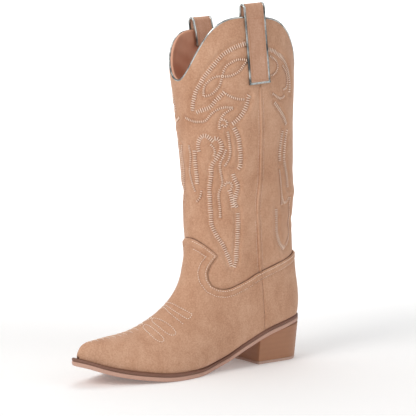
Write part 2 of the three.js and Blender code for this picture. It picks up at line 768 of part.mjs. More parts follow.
function makeSlider() {
  const { at, halfLength, halfWidth, top, bottom } = slider;
  const outline = [
    [-halfWidth + 0.9, at - halfLength], [halfWidth - 0.9, at - halfLength],
    [halfWidth, at - 1], [halfWidth - 0.5, at + halfLength], [-halfWidth + 0.5, at + halfLength],
    [-halfWidth, at - 1],
  ];
  const plate = (points, low, high) => {
    const geometry = extruded(points, high - low);
    geometry.rotateX(Math.PI / 2);
    geometry.translate(0, high, 0);
    return toManifold(geometry);
  };
  const wing = plate(outline, bottom, top);
  const ratio = sliderInside.halfWidth / halfWidth;
  const back = plate(outline.map(([v, u]) => [v * ratio, u]), sliderInside.bottom, sliderInside.top);
  const bridge = zipBox([-0.4, sliderInside.bottom + 0.2, at + 1], [0.4, bottom + 0.2, at + 5]);
  const { u, w, lugHalfWidth, lugRadius, hole } = hinge;
  const cylinder = (radius, half) => {
    const geometry = new THREE.CylinderGeometry(radius, radius, 2 * half, 16);
    geometry.rotateZ(Math.PI / 2);
    geometry.translate(0, w, at + u);
    return toManifold(geometry);
  };
  const lug = cylinder(lugRadius, lugHalfWidth)
    .add(zipBox([-lugHalfWidth, top - 0.3, at + u - lugRadius], [lugHalfWidth, w, at + u + lugRadius]))
    .subtract(cylinder(hole, lugHalfWidth + 1));
  solids.zip_slider = inZip(wing.add(back).add(bridge).add(lug));
}

// The puller hangs plumb from its hinge: a plate with a window round the slider's lug.
function makePuller() {
  const { length, halfWidth, neck, window, thickness } = puller;
  const bar = 0.6;
  const outline = [[-neck, bar], [-neck, -4], [-halfWidth, -6.5], [-halfWidth, -length + halfWidth]];
  for (let i = 1; i < 8; i += 1) {
    const turn = Math.PI * (1 + i / 8);
    const centre = -length + halfWidth;
    outline.push([halfWidth * Math.cos(turn), centre + halfWidth * Math.sin(turn)]);
  }
  outline.push([halfWidth, -length + halfWidth], [halfWidth, -6.5], [neck, -4], [neck, bar]);
  const hole = [[-window, -bar], [window, -bar], [window, -4.2], [-window, -4.2]];
  const geometry = extruded(outline, thickness, [hole.map(([x, y]) => new THREE.Vector2(x, y))]);
  geometry.translate(0, 0, -thickness / 2);
  const across = world(zipAcross);
  const up = new THREE.Vector3(0, 0, 1).addScaledVector(across, -across.z).normalize();
  const out = new THREE.Vector3().crossVectors(across, up);
  const pin = new THREE.Vector3(0, hinge.w, slider.at + hinge.u).applyMatrix4(zipFrame);
  const frame = new THREE.Matrix4().makeBasis(across, up, out).setPosition(pin);
  solids.zip_puller = toManifold(geometry.applyMatrix4(frame));
}

// ---------------------------------------------------------------- the group

makeUpper();
makePiping();
makeSole();
makeStrap(1, 'lateral');
makeStrap(-1, 'medial');
makeZipRows();
makeSlider();
makePuller();

const finishes = {
  suede: { color: 0xb98a67, roughness: 0.95, metalness: 0 },
  liningSkin: { color: 0xa77f6b, roughness: 0.6, metalness: 0 },
  silver: { color: 0xb9b9b6, roughness: 0.3, metalness: 1 },
  mauve: { color: 0x7b5c50, roughness: 0.7, metalness: 0 },
  sole: { color: 0xc49480, roughness: 0.6, metalness: 0 },
  stack: { color: 0xa07355, roughness: 0.5, metalness: 0 },
  board: { color: 0xb49a78, roughness: 0.9, metalness: 0 },
  cork: { color: 0x9c7a55, roughness: 1, metalness: 0 },
  steel: { color: 0x8c8f93, roughness: 0.4, metalness: 1 },
  taupe: { color: 0x6d5850, roughness: 0.9, metalness: 0 },
  teeth: { color: 0x9a7468, roughness: 0.5, metalness: 0 },
};

const finishOf = {
  vamp: 'suede', counter: 'suede', shaft_front: 'suede', shaft_back: 'suede',
  pull_strap_lateral: 'suede', pull_strap_medial: 'suede',
  side_welt_lateral: 'suede', side_welt_medial: 'suede',
  vamp_lining: 'liningSkin', counter_lining: 'liningSkin', sock_liner: 'liningSkin',
  shaft_lining_front: 'liningSkin', shaft_lining_back: 'liningSkin', zip_guard: 'liningSkin',
  topline_piping: 'silver', strap_edging_lateral: 'silver', strap_edging_medial: 'silver',
  welt: 'mauve', outsole: 'sole', heel_lift: 'sole', heel_block: 'stack',
  insole_board: 'board', toe_puff: 'board', heel_stiffener: 'board', bottom_filler: 'cork',
  zip_tape_front: 'taupe', zip_tape_rear: 'taupe',
  zip_teeth_front: 'teeth', zip_teeth_rear: 'teeth',
};

const group = new THREE.Group();
Object.entries(solids).forEach(([name, solid]) => {
  const finish = finishes[finishOf[name] ?? 'steel'];
  const mesh = new THREE.Mesh(toGeometry(solid), new THREE.MeshStandardMaterial(finish));
  mesh.name = name;
  group.add(mesh);
});

const box = new THREE.Box3().setFromObject(group);
const centre = box.getCenter(new THREE.Vector3());
group.position.set(-centre.x, -centre.y, -box.min.z);
group.updateMatrixWorld(true);

export default group;
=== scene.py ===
# A left cowboy boot in tan suede: panels, embroidery, silver edges, zip and sole unit.
# Lengths in the dictionaries are in millimetres, in the boot's own directions:
# F forward to the toe, S sideways to the outer side, Z up. Mesh data is in metres.
import math

import bmesh
import bpy
import numpy as np
from mathutils import Matrix, Vector
from mathutils.geometry import delaunay_2d_cdt
from mathutils.kdtree import KDTree


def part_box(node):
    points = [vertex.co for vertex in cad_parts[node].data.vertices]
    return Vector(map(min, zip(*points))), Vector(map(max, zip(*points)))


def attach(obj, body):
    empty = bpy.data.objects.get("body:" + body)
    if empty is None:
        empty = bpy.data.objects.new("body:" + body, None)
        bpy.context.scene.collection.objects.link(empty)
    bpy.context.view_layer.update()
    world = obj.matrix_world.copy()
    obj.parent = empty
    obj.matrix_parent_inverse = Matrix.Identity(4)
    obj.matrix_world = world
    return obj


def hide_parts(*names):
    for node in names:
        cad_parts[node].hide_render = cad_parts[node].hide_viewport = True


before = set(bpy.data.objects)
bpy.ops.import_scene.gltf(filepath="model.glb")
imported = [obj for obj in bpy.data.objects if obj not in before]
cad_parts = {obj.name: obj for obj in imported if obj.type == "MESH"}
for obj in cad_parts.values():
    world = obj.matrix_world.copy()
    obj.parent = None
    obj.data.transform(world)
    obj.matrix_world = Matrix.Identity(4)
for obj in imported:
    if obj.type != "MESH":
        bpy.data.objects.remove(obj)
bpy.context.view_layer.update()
print("frame loaded")

millimetre = 0.001

# The boot's own form. Sections from the toe up to the topline: v, ridge point (F, Z), back or
# bottom point (F, Z), half widths outer and inner, widest place, roundness of the ridge and back
# halves, lean.
bootForm = {
    "sections": np.array([
        [0.00, 271.0, 32.0, 270.0, 16, 2.5, 2.5, 0.45, 2.00, 2.6, 0],
        [0.35, 266.0, 38.5, 262.0, 9, 8.5, 8.5, 0.42, 2.10, 2.8, 0],
        [1.00, 252.0, 42.5, 247.0, 2, 17, 17, 0.40, 2.20, 2.8, 0],
        [2.00, 230.0, 44.0, 222.0, -4, 28, 29, 0.38, 2.20, 2.9, 1],
        [3.00, 207.0, 47.0, 196.0, -8, 38, 38, 0.36, 1.90, 3.0, 2],
        [4.00, 184.0, 56.0, 166.0, -8, 41, 37, 0.34, 1.75, 3.0, 3],
        [5.00, 165.5, 68.0, 131.0, 4, 38, 33, 0.34, 1.70, 3.0, 3],
        [6.00, 152.0, 83.0, 88.0, 12, 35, 32, 0.36, 1.75, 2.8, 2],
        [7.00, 143.5, 102.0, 38.0, 16, 34, 33, 0.40, 1.85, 2.6, 1],
        [8.00, 139.5, 124.0, 2.0, 42, 35, 35, 0.45, 2.00, 2.4, 0],
        [9.00, 137.0, 146.0, 2.0, 88, 37, 37, 0.50, 2.10, 2.3, 0],
        [10.0, 136.0, 172.0, 9.5, 128, 40, 40, 0.50, 2.10, 2.2, 0],
        [11.0, 139.0, 205.0, 9.0, 175, 43, 43, 0.50, 2.00, 2.2, 0],
        [12.0, 144.0, 245.0, 10.0, 232, 47, 47, 0.50, 2.00, 2.1, 0],
        [13.0, 149.5, 285.0, 10.0, 282, 50, 50, 0.50, 2.00, 2.1, 0],
        [14.0, 154.0, 327.0, 11.0, 327, 52, 52, 0.50, 2.00, 2.1, 0],
        [15.0, 157.0, 372.0, 11.5, 372, 52.5, 52.5, 0.50, 2.00, 2.1, 0],
    ]),
    "feather": np.array([
        [-10, 49.5], [0, 48], [20, 45.8], [37, 43], [60, 37.6], [81, 29.7], [95, 23.6],
        [109, 15.9], [125, 10], [145, 7.6], [165, 7.5], [190, 8.1], [206, 10], [236, 15.3],
        [258, 22.2], [270, 26.4], [285, 29],
    ], float),
    "peak": (360.5, 352.5),        # topline height at the outer and inner side
    "dip": (298, 295),           # and at the front and back
    "fall": (2.4, 1.5, 1.25),     # sharpness: outer front, inner front, back
    "heelBreast": 66,
}

# The vamp's top edge from the ridge to the side seam, then the counter's to the heel (F, Z).
vampEdge = [
    (160, 137), (137.6, 136.2), (133.2, 132), (129.7, 129), (125.5, 125), (119.4, 118.8),
    (123, 113.6), (126.2, 108.1), (128.2, 101), (127.9, 94.4), (124.9, 87.8), (119.2, 84.5),
    (111.9, 83.4), (104.2, 84.7), (96.3, 87.9), (87.1, 91.9), (77, 97.5),
    (66.4, 101.4), (48.7, 106.8), (30, 112), (10, 117), (-20, 121),
]
outerSeam = [
    (61, 0), (62.5, 30), (64.5, 59), (67.5, 80.5), (71.5, 99.5), (75.5, 130), (79.5, 160),
    (80, 175), (78.5, 195), (80.7, 247), (85.3, 295), (88.5, 363), (89.5, 400),
]
innerSeam = [(62, 0), (66, 42), (79.8, 152), (81.4, 195), (84.9, 247), (88.6, 295), (91, 363),
             (92, 400)]
zipLine = {"foot": (66, -32.9, 42), "head": (79.8, -39.6, 152), "slot": 4.3}


def naturalSpline(xs, ys):
    xs, ys = np.asarray(xs, float), np.asarray(ys, float)
    n = len(xs)
    step = np.diff(xs)
    matrix = np.eye(n)
    right = np.zeros((n,) + ys.shape[1:])
    slope = np.diff(ys, axis=0) / step.reshape((-1,) + (1,) * (ys.ndim - 1))
    for i in range(1, n - 1):
        matrix[i, i - 1:i + 2] = step[i - 1], 2 * (step[i - 1] + step[i]), step[i]
        right[i] = 6 * (slope[i] - slope[i - 1])
    bend = np.linalg.solve(matrix, right)

    def value(x):
        x = np.asarray(x, float)
        i = np.clip(np.searchsorted(xs, x) - 1, 0, n - 2)
        h = step[i]
        a, b = (xs[i + 1] - x) / h, (x - xs[i]) / h
        if ys.ndim > 1:
            h, a, b = h[..., None], a[..., None], b[..., None]
        bulge = ((a ** 3 - a) * bend[i] + (b ** 3 - b) * bend[i + 1]) * h * h / 6
        return a * ys[i] + b * ys[i + 1] + bulge
    return value


sectionAt = naturalSpline(bootForm["sections"][:, 0], bootForm["sections"][:, 1:])
feather = naturalSpline(bootForm["feather"][:, 0], bootForm["feather"][:, 1])
lastV = bootForm["sections"][-1, 0]
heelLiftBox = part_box("heel_lift")
offsetX = (heelLiftBox[0].x + heelLiftBox[1].x) / 2 / millimetre
offsetY = heelLiftBox[0].y / millimetre + bootForm["heelBreast"]


def toWorld(points):
    points = np.asarray(points, float)
    return np.stack([points[..., 1] + offsetX, offsetY - points[..., 0], points[..., 2]], -1) \
        * millimetre


def turnedToWorld(directions):
    d = np.asarray(directions, float)
    return np.stack([d[..., 1], -d[..., 0], d[..., 2]], -1)


def bent(x, roundness):
    return np.sign(x) * np.abs(x) ** (2 / roundness)


# turn is 0 on the ridge, a quarter turn on the outer side, half a turn at the back or bottom.
def surfacePoint(v, turn):
    v, turn = np.broadcast_arrays(np.asarray(v, float), np.asarray(turn, float))
    ff, zf, fb, zb, outer, inner, mid, nf, nb, lean = np.moveaxis(sectionAt(v), -1, 0)
    c, s = np.cos(turn), np.sin(turn)
    roundness = np.where(c >= 0, nf, nb)
    along = mid + np.where(c >= 0, 1 - mid, mid) * bent(c, roundness)
    side = np.where(s >= 0, outer, inner) * bent(s, roundness)
    side = side - lean * np.clip(along, 0, 1) ** 2
    return np.stack([fb + (ff - fb) * along, side, zb + (zf - zb) * along], -1)


def unit(a):
    return a / np.maximum(np.linalg.norm(a, axis=-1, keepdims=True), 1e-9)


def surfaceNormal(v, turn):
    step = 0.01
    up = surfacePoint(np.minimum(v + step, lastV), turn) \
        - surfacePoint(np.maximum(v - step, 0), turn)
    around = surfacePoint(v, turn + step) - surfacePoint(v, turn - step)
    normal = unit(np.cross(around, up))
    middle = (surfacePoint(v, 0 * turn) + surfacePoint(v, 0 * turn + math.pi)) / 2
    outward = ((surfacePoint(v, turn) - middle) * normal).sum(-1, keepdims=True)
    return np.where(outward < 0, -normal, normal)


vGrid = np.linspace(0.0, lastV, 751)
gridSections = sectionAt(vGrid)


# The (v, turn) of a point given in side view, on the outer (1) or inner (-1) side.
def fromSideView(f, z, side):
    f, z = np.atleast_1d(f).astype(float), np.atleast_1d(z).astype(float)
    ff, zf, fb, zb = (gridSections[:, k][:, None] for k in range(4))
    cross = (f - fb) * (zf - zb) - (z - zb) * (ff - fb)
    change = np.signbit(cross[:-1]) != np.signbit(cross[1:])
    at = np.argmax(change, axis=0)
    nearest = np.argmin(np.abs(cross), axis=0).clip(0, len(vGrid) - 2)
    at = np.where(change.any(axis=0), at, nearest)
    pick = np.arange(len(f))
    a, b = cross[at, pick], cross[at + 1, pick]
    part = np.clip(a / np.where(a == b, 1, a - b), 0, 1)
    v = vGrid[at] + part * (vGrid[1] - vGrid[0])
    ff, zf, fb, zb, _, _, mid, nf, nb, _ = np.moveaxis(sectionAt(v), -1, 0)
    length = (ff - fb) ** 2 + (zf - zb) ** 2
    along = ((f - fb) * (ff - fb) + (z - zb) * (zf - zb)) / length
    front = along >= mid
    c = np.where(
        front,
        np.clip((along - mid) / (1 - mid), 0, 1) ** (nf / 2),
        -np.clip((mid - along) / mid, 0, 1) ** (nb / 2),
    )
    return v, side * np.arccos(np.clip(c, -1, 1))


# Panel millimetres on the shaft: q is the way round at one height from the front, z the height.
shaftTable = {"z": np.arange(70, 372, 1.5), "turns": np.radians(np.arange(-180, 181, 1.0)),
              "q": np.arange(-300, 300.1, 0.5)}


def makeShaftTable():
    zs, turns = shaftTable["z"], shaftTable["turns"]
    vs = np.linspace(5.0, lastV, 401)
    heights = surfacePoint(vs[:, None], turns[None, :])[..., 2]
    vAt = np.stack([np.interp(zs, heights[:, j], vs) for j in range(len(turns))], 1)
    points = surfacePoint(vAt, turns[None, :])
    step = np.linalg.norm(np.diff(points, axis=1), axis=-1)
    length = np.concatenate([np.zeros((len(zs), 1)), np.cumsum(step, axis=1)], 1)
    length -= length[:, [len(turns) // 2]]
    shaftTable["length"] = length
    qs = shaftTable["q"]
    # past the back line the way round carries on from the other side
    turnAt, vRow = [], []
    for i in range(len(zs)):
        whole = length[i, -1] - length[i, 0]
        lengths = np.concatenate([length[i, :-1] - whole, length[i, :-1], length[i] + whole])
        spread = np.concatenate([turns[:-1] - 2 * np.pi, turns[:-1], turns + 2 * np.pi])
        vs3 = np.concatenate([vAt[i, :-1], vAt[i, :-1], vAt[i]])
        turnAt.append(np.interp(qs, lengths, spread))
        vRow.append(np.interp(qs, lengths, vs3))
    shaftTable["turnAt"], shaftTable["vAt"] = np.array(turnAt), np.array(vRow)


def bilinear(table, rows, columns, row, column):
    i = np.clip((row - rows[0]) / (rows[1] - rows[0]), 0, len(rows) - 1.001)
    j = np.clip((column - columns[0]) / (columns[1] - columns[0]), 0, len(columns) - 1.001)
    a, b = i.astype(int), j.astype(int)
    s, t = i - a, j - b
    return (table[a, b] * (1 - s) * (1 - t) + table[a + 1, b] * s * (1 - t)
            + table[a, b + 1] * (1 - s) * t + table[a + 1, b + 1] * s * t)


def panelToSurface(q, z):
    q, z = np.asarray(q, float), np.asarray(z, float)
    args = (shaftTable["z"], shaftTable["q"], z, q)
    return bilinear(shaftTable["vAt"], *args), bilinear(shaftTable["turnAt"], *args)


def surfaceToPanel(v, turn):
    point = surfacePoint(v, turn)
    z = point[..., 2]
    q = bilinear(shaftTable["length"], shaftTable["z"], shaftTable["turns"], z, turn)
    return q, z


makeShaftTable()


# The whole way round the shaft at a height.
def wholeRound(z):
    return 2 * np.interp(z, shaftTable["z"], shaftTable["length"][:, -1])


def toplineHeight(turn):
    outer, inner = bootForm["peak"]
    front, back = bootForm["dip"]
    outerFall, innerFall, backFall = bootForm["fall"]
    c, s = np.cos(turn), np.sin(turn)
    peak = np.where(s >= 0, outer, inner)
    dip = np.where(c > 0, front, back)
    fall = np.where(c > 0, np.where(s >= 0, outerFall, innerFall), backFall)
    return peak - (peak - dip) * np.abs(c) ** (2 * fall)


def toplineV(turn):
    turn = np.asarray(turn, float)
    target = toplineHeight(turn)
    low, high = np.full(turn.shape, 11.5), np.full(turn.shape, lastV)
    for _ in range(32):
        middle = (low + high) / 2
        under = surfacePoint(middle, turn)[..., 2] < target
        low, high = np.where(under, middle, low), np.where(under, high, middle)
    return (low + high) / 2


def resampled(points, spacing, closed=False):
    points = np.asarray(points, float)
    if closed:
        points = np.vstack([points, points[:1]])
    length = np.concatenate([[0], np.cumsum(np.linalg.norm(np.diff(points, axis=0), axis=1))])
    count = max(2, int(round(length[-1] / spacing)) + 1)
    at = np.linspace(0, length[-1], count)
    if closed:
        at = at[:-1]
    return np.stack([np.interp(at, length, points[:, k]) for k in range(points.shape[1])], -1)


# A smooth line through a few points, sampled evenly.
def smoothLine(points, spacing=0.6):
    points = np.asarray(points, float)
    if len(points) < 3:
        return resampled(points, spacing)
    way = np.concatenate([[0], np.cumsum(np.linalg.norm(np.diff(points, axis=0), axis=1) ** 0.5)])
    curve = naturalSpline(way, points)(np.linspace(0, way[-1], 16 * len(points)))
    return resampled(curve, spacing)


# Building meshes.

def makeObject(name, points, faces, smooth=True):
    mesh = bpy.data.meshes.new(name)
    mesh.from_pydata(np.asarray(points).tolist(), [], [tuple(map(int, f)) for f in faces])
    mesh.validate()
    mesh.update()
    if smooth:
        mesh.polygons.foreach_set("use_smooth", [True] * len(mesh.polygons))
    piece = bpy.data.objects.new(name, mesh)
    bpy.context.scene.collection.objects.link(piece)
    return piece


def faceOutward(piece):
    work = bmesh.new()
    work.from_mesh(piece.data)
    bmesh.ops.recalc_face_normals(work, faces=work.faces)
    work.to_mesh(piece.data)
    work.free()
    piece.data.update()


def finishPiece(piece, body, slot, material, *nodes):
    piece.data.materials.clear()
    piece.data.materials.append(material)
    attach(piece, body)
    if nodes:
        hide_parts(*nodes)
    return piece


def applied(piece):
    depsgraph = bpy.context.evaluated_depsgraph_get()
    mesh = bpy.data.meshes.new_from_object(piece.evaluated_get(depsgraph))
    piece.modifiers.clear()
    old = piece.data
    piece.data = mesh
    bpy.data.meshes.remove(old)
    return piece


# Rings of points joined into a skin; closed makes a hoop, otherwise the ends are capped.
def ringFaces(rings, count, closed):
    faces = []
    for i in range(rings if closed else rings - 1):
        low, high = i * count, ((i + 1) % rings) * count
        for j in range(count):
            k = (j + 1) % count
            faces.append((low + j, low + k, high + k, high + j))
    if not closed:
        faces.append(tuple(reversed(range(count))))
        faces.append(tuple(range((rings - 1) * count, rings * count)))
    return faces


def ringPiece(name, rings, closed=False):
    rings = np.asarray(rings)
    count = rings.shape[1]
    faces = ringFaces(len(rings), count, closed)
    piece = makeObject(name, rings.reshape(-1, 3), faces)
    faceOutward(piece)
    return piece


def joinPieces(name, pieces):
    verts, faces, start = [], [], 0
    for piece in pieces:
        mesh = piece.data
        verts += [tuple(v.co) for v in mesh.vertices]
        faces += [tuple(start + i for i in p.vertices) for p in mesh.polygons]
        start += len(mesh.vertices)
        bpy.data.objects.remove(piece)
        bpy.data.meshes.remove(mesh)
    return makeObject(name, verts, faces)


def nearestTree(points):
    tree = KDTree(len(points))
    for i, p in enumerate(points):
        tree.insert((p[0], p[1], p[2] if len(p) > 2 else 0.0), i)
    tree.balance()
    return tree


def distancesTo(tree, points):
    flat = points.shape[1] == 2
    return np.array([tree.find((p[0], p[1], 0.0 if flat else p[2]))[2] for p in points])


def insideOutline(points, outline):
    inside = np.zeros(len(points), bool)
    a, b = outline, np.roll(outline, -1, axis=0)
    for (ax, ay), (bx, by) in zip(a, b):
        if ay == by:
            continue
        crosses = (points[:, 1] > min(ay, by)) & (points[:, 1] <= max(ay, by))
        x = ax + (points[:, 1] - ay) * (bx - ax) / (by - ay)
        inside ^= crosses & (points[:, 0] < x)
    return inside


panelMesh = {"spacing": 1.9, "edgeStep": 1.1, "fineReach": 3.6, "fineShare": 0.52, "clear": 1.5,
             "lipRows": (0.28, 0.8), "thickness": 1.3, "roll": 0.8}


# A leather panel: its outline and inner points lie in a flat plane of millimetres, toSurface
# carries them to (v, turn), and height says how far each stands proud of the boot's form.
# Points stand closer together along the fine lines.
def makePanel(name, outline, toSurface, height, fine, toeTip=False):
    size = panelMesh
    thickness, roll, reach = size["thickness"], size["roll"], size["fineReach"]
    outline = resampled(outline, size["edgeStep"], closed=True)
    edgeTree = nearestTree(resampled(outline, 0.25, closed=True))
    low, high = outline.min(0), outline.max(0)

    def hexGrid(step):
        rows = np.arange(low[1], high[1], step * 0.866)
        columns = np.arange(low[0], high[0], step)
        x = columns[None, :] + (np.arange(len(rows)) % 2)[:, None] * step / 2
        y = np.repeat(rows[:, None], len(columns), 1)
        return np.stack([x.ravel(), y.ravel()], -1)

    fineTree = nearestTree(fine)
    coarse = hexGrid(size["spacing"])
    coarse = coarse[insideOutline(coarse, outline)]
    coarse = coarse[distancesTo(fineTree, coarse) >= reach]
    small = hexGrid(size["spacing"] * size["fineShare"])
    small = small[insideOutline(small, outline)]
    small = small[distancesTo(fineTree, small) < reach]
    grid = np.vstack([coarse, small])
    grid = grid[distancesTo(edgeTree, grid) > size["clear"]]
    # two rows just inside the edge carry its rolled lip
    along = np.roll(outline, -1, 0) - np.roll(outline, 1, 0)
    inward = unit(np.stack([-along[:, 1], along[:, 0]], -1))
    area = (outline[:, 0] * np.roll(outline[:, 1], -1)
            - np.roll(outline[:, 0], -1) * outline[:, 1]).sum()
    inward = inward if area > 0 else -inward
    rows = []
    for distance in size["lipRows"]:
        row = outline + inward * distance
        row = row[insideOutline(row, outline)]
        rows.append(row[distancesTo(edgeTree, row) > distance * 0.8])
    points = np.vstack([outline] + rows + [grid])
    loop = list(range(len(outline)))
    flat, _, triangles, _, _, _ = delaunay_2d_cdt(
        [Vector(p) for p in points], [], [loop], 1, 1e-5)
    flat = np.array([tuple(p) for p in flat])
    triangles = np.array([t for t in triangles if len(t) == 3])
    corner = flat[triangles]
    turned = np.cross(corner[:, 1] - corner[:, 0], corner[:, 2] - corner[:, 0]) < 0
    triangles[turned] = triangles[turned][:, ::-1]
    away = distancesTo(edgeTree, flat)
    v, turn = toSurface(flat)
    base, normal = surfacePoint(v, turn), surfaceNormal(v, turn)
    lip = np.clip(1 - away / roll, 0, 1)
    drop = roll * (1 - np.sqrt(np.clip(1 - lip ** 2, 0, 1)))
    rise = height(flat, v, turn, base) - drop
    outer = base + normal * rise[:, None]
    under = np.minimum(rise - 0.25, rise + drop - thickness)
    inner = base + normal * under[:, None]
    # the outer skin's faces are turned by comparing them with the outward direction
    face = np.cross(outer[triangles[:, 1]] - outer[triangles[:, 0]],
                    outer[triangles[:, 2]] - outer[triangles[:, 0]])
    if (face * normal[triangles[:, 0]]).sum() < 0:
        triangles = triangles[:, ::-1]
    count = len(flat)
    faces = [tuple(t) for t in triangles] + [tuple(t[::-1] + count) for t in triangles]
    edges = {}
    for t in triangles:
        for k in range(3):
            a, b = int(t[k]), int(t[(k + 1) % 3])
            edges[(a, b)] = edges.get((a, b), 0) + 1
    verts = np.vstack([outer, inner])
    tip = []
    for (a, b) in edges:
        if (b, a) in edges:
            continue
        if toeTip and v[a] < 0.02 and v[b] < 0.02:
            tip.append((a, b))
            continue
        faces.append((b, a, a + count, b + count))
    if tip:
        # the toe's open end is closed by a fan to a point a little ahead of it
        ends = sorted({i for e in tip for i in e})
        middle = outer[ends].mean(0) + np.array([0.8, 0, 0])
        innerMiddle = inner[ends].mean(0)
        verts = np.vstack([verts, middle, innerMiddle])
        for a, b in tip:
            faces.append((b, a, len(verts) - 2))
            faces.append((a + count, b + count, len(verts) - 1))
        chain = {a for a, _ in tip} ^ {b for _, b in tip}
        first, last = sorted(chain, key=lambda i: outer[i][1])
        faces.append((first, len(verts) - 2, len(verts) - 1, first + count))
        faces.append((last, len(verts) - 2, len(verts) - 1, last + count))
    piece = makeObject(name, toWorld(verts), faces)
    faceOutward(piece)
    print(name, len(piece.data.polygons), "faces")
    return piece


# Shader maths: a wire wraps a node's socket, and an operator adds its Math node.

class Wire:
    def __init__(self, tree, socket):
        self.tree, self.socket = tree, socket

    def math(self, operation, *values):
        return node(self.tree, "ShaderNodeMath", {"operation": operation},
                    {i: value for i, value in enumerate((self,) + values)})

    def __add__(self, other):
        return self.math("ADD", other)

    def __radd__(self, other):
        return self.math("ADD", other)

    def __sub__(self, other):
        return self.math("SUBTRACT", other)

    def __rsub__(self, other):
        return node(self.tree, "ShaderNodeMath", {"operation": "SUBTRACT"}, {0: other, 1: self})

    def __mul__(self, other):
        return self.math("MULTIPLY", other)

    def __rmul__(self, other):
        return self.math("MULTIPLY", other)

    def clamped(self):
        return node(self.tree, "ShaderNodeClamp", {}, {0: self})


def node(tree, kind, settings, sockets, output=0):
    made = tree.nodes.new(kind)
    for key, value in settings.items():
        if key == "stops":
            ramp = made.color_ramp
            while len(ramp.elements) < len(value):
                ramp.elements.new(0.5)
            for element, (position, colour) in zip(ramp.elements, value):
                element.position = position
                element.color = colour
        else:
            setattr(made, key, value)
    for key, value in sockets.items():
        socket = made.inputs[key]
        if isinstance(value, Wire):
            tree.links.new(value.socket, socket)
        else:
            socket.default_value = value
    return Wire(tree, made.outputs[output])


def colour(r, g, b):
    linear = [((c / 255 + 0.055) / 1.055) ** 2.4 if c > 10 else c / 255 / 12.92
              for c in (r, g, b)]
    return (*linear, 1.0)


def newMaterial(name, **constants):
    material = bpy.data.materials.new(name)
    material.use_nodes = True
    tree = material.node_tree
    shader = tree.nodes["Principled BSDF"]
    for key, value in constants.items():
        shader.inputs[key.replace("_", " ")].default_value = value
    place = node(tree, "ShaderNodeTexCoord", {}, {}, "Object")
    return material, tree, shader, place


def noise(tree, place, scale, detail=4.0, roughness=0.5, stretch=None):
    if stretch:
        place = node(tree, "ShaderNodeMapping", {}, {"Vector": place, "Scale": stretch})
    return node(tree, "ShaderNodeTexNoise", {}, {
        "Vector": place, "Scale": scale, "Detail": detail, "Roughness": roughness}, "Fac")


def blendColours(tree, factor, a, b, mode="MIX"):
    return node(tree, "ShaderNodeMix", {"data_type": "RGBA", "blend_type": mode},
                {0: factor, 6: a, 7: b}, 2)


def bumped(tree, shader, height, strength, distance):
    bump = node(tree, "ShaderNodeBump", {}, {
        "Height": height, "Strength": strength, "Distance": distance}, "Normal")
    tree.links.new(bump.socket, shader.inputs["Normal"])


def feed(tree, shader, name, wire):
    tree.links.new(wire.socket, shader.inputs[name])


# Suede: a short nap that lies in brushed patches, lighter where it stands up.
def makeSuede(name, base, dark, light, rough=0.92, sheen=0.25):
    material, tree, shader, place = newMaterial(
        name, Sheen_Weight=sheen, Sheen_Roughness=0.45, Sheen_Tint=(1.0, 0.9, 0.82, 1.0),
        Specular_IOR_Level=0.22)
    patches = noise(tree, place, 26.0, 3.0, 0.55)
    brushed = noise(tree, place, 95.0, 4.0, 0.6, (1.0, 1.0, 0.55))
    nap = noise(tree, place, 620.0, 4.0, 0.75)
    fibre = noise(tree, place, 2600.0, 2.0, 0.6)
    tone = (patches * 0.45 + brushed * 0.35 + nap * 0.8 - 0.55) * 2.3
    tint = node(tree, "ShaderNodeValToRGB", {"stops": [
        (0.0, dark), (0.5, base), (1.0, light)]}, {0: tone.clamped()})
    tint = blendColours(tree, (fibre - 0.35) * 0.35, tint, light)
    feed(tree, shader, "Base Color", tint)
    feed(tree, shader, "Roughness", rough + (patches - 0.5) * 0.12)
    bumped(tree, shader, nap * 0.6 + fibre * 0.4, 0.35, 0.00035)
    return material


def makeThread(name, base, light):
    material, tree, shader, place = newMaterial(
        name, Sheen_Weight=0.2, Sheen_Roughness=0.4, Specular_IOR_Level=0.4)
    twist = node(tree, "ShaderNodeTexWave", {"wave_type": "BANDS", "bands_direction": "DIAGONAL"},
                 {"Vector": place, "Scale": 420.0, "Distortion": 1.0}, "Fac")
    cloud = noise(tree, place, 60.0)
    feed(tree, shader, "Base Color",
         blendColours(tree, (twist * 0.6 + cloud * 0.5 - 0.1).clamped(), base, light))
    feed(tree, shader, "Roughness", 0.5 + twist * 0.15)
    bumped(tree, shader, twist, 0.3, 0.0002)
    return material


def makeSmoothLeather(name, base, dark, rough=0.5, grain=700.0, depth=0.00025, layers=None):
    material, tree, shader, place = newMaterial(name, Specular_IOR_Level=0.45)
    pores = node(tree, "ShaderNodeTexVoronoi", {"feature": "DISTANCE_TO_EDGE"},
                 {"Vector": place, "Scale": grain}, "Distance")
    cloud = noise(tree, place, 45.0, 4.0)
    wear = noise(tree, place, 160.0, 5.0, 0.6)
    tone = (cloud * 0.7 + wear * 0.4 - 0.2).clamped()
    if layers:
        bands = node(tree, "ShaderNodeTexWave",
                     {"wave_type": "BANDS", "bands_direction": "Z"},
                     {"Vector": place, "Scale": layers, "Distortion": 0.6, "Detail": 2.0,
                      "Detail Scale": 3.0}, "Fac")
        tone = (tone * 0.85 + bands * 0.12).clamped()
    feed(tree, shader, "Base Color", blendColours(tree, tone, dark, base))
    feed(tree, shader, "Roughness", rough + (wear - 0.5) * 0.25)
    height = pores + wear * 0.05
    if layers:
        height = height + bands * 0.12
    bumped(tree, shader, height, 0.35, depth)
    return material


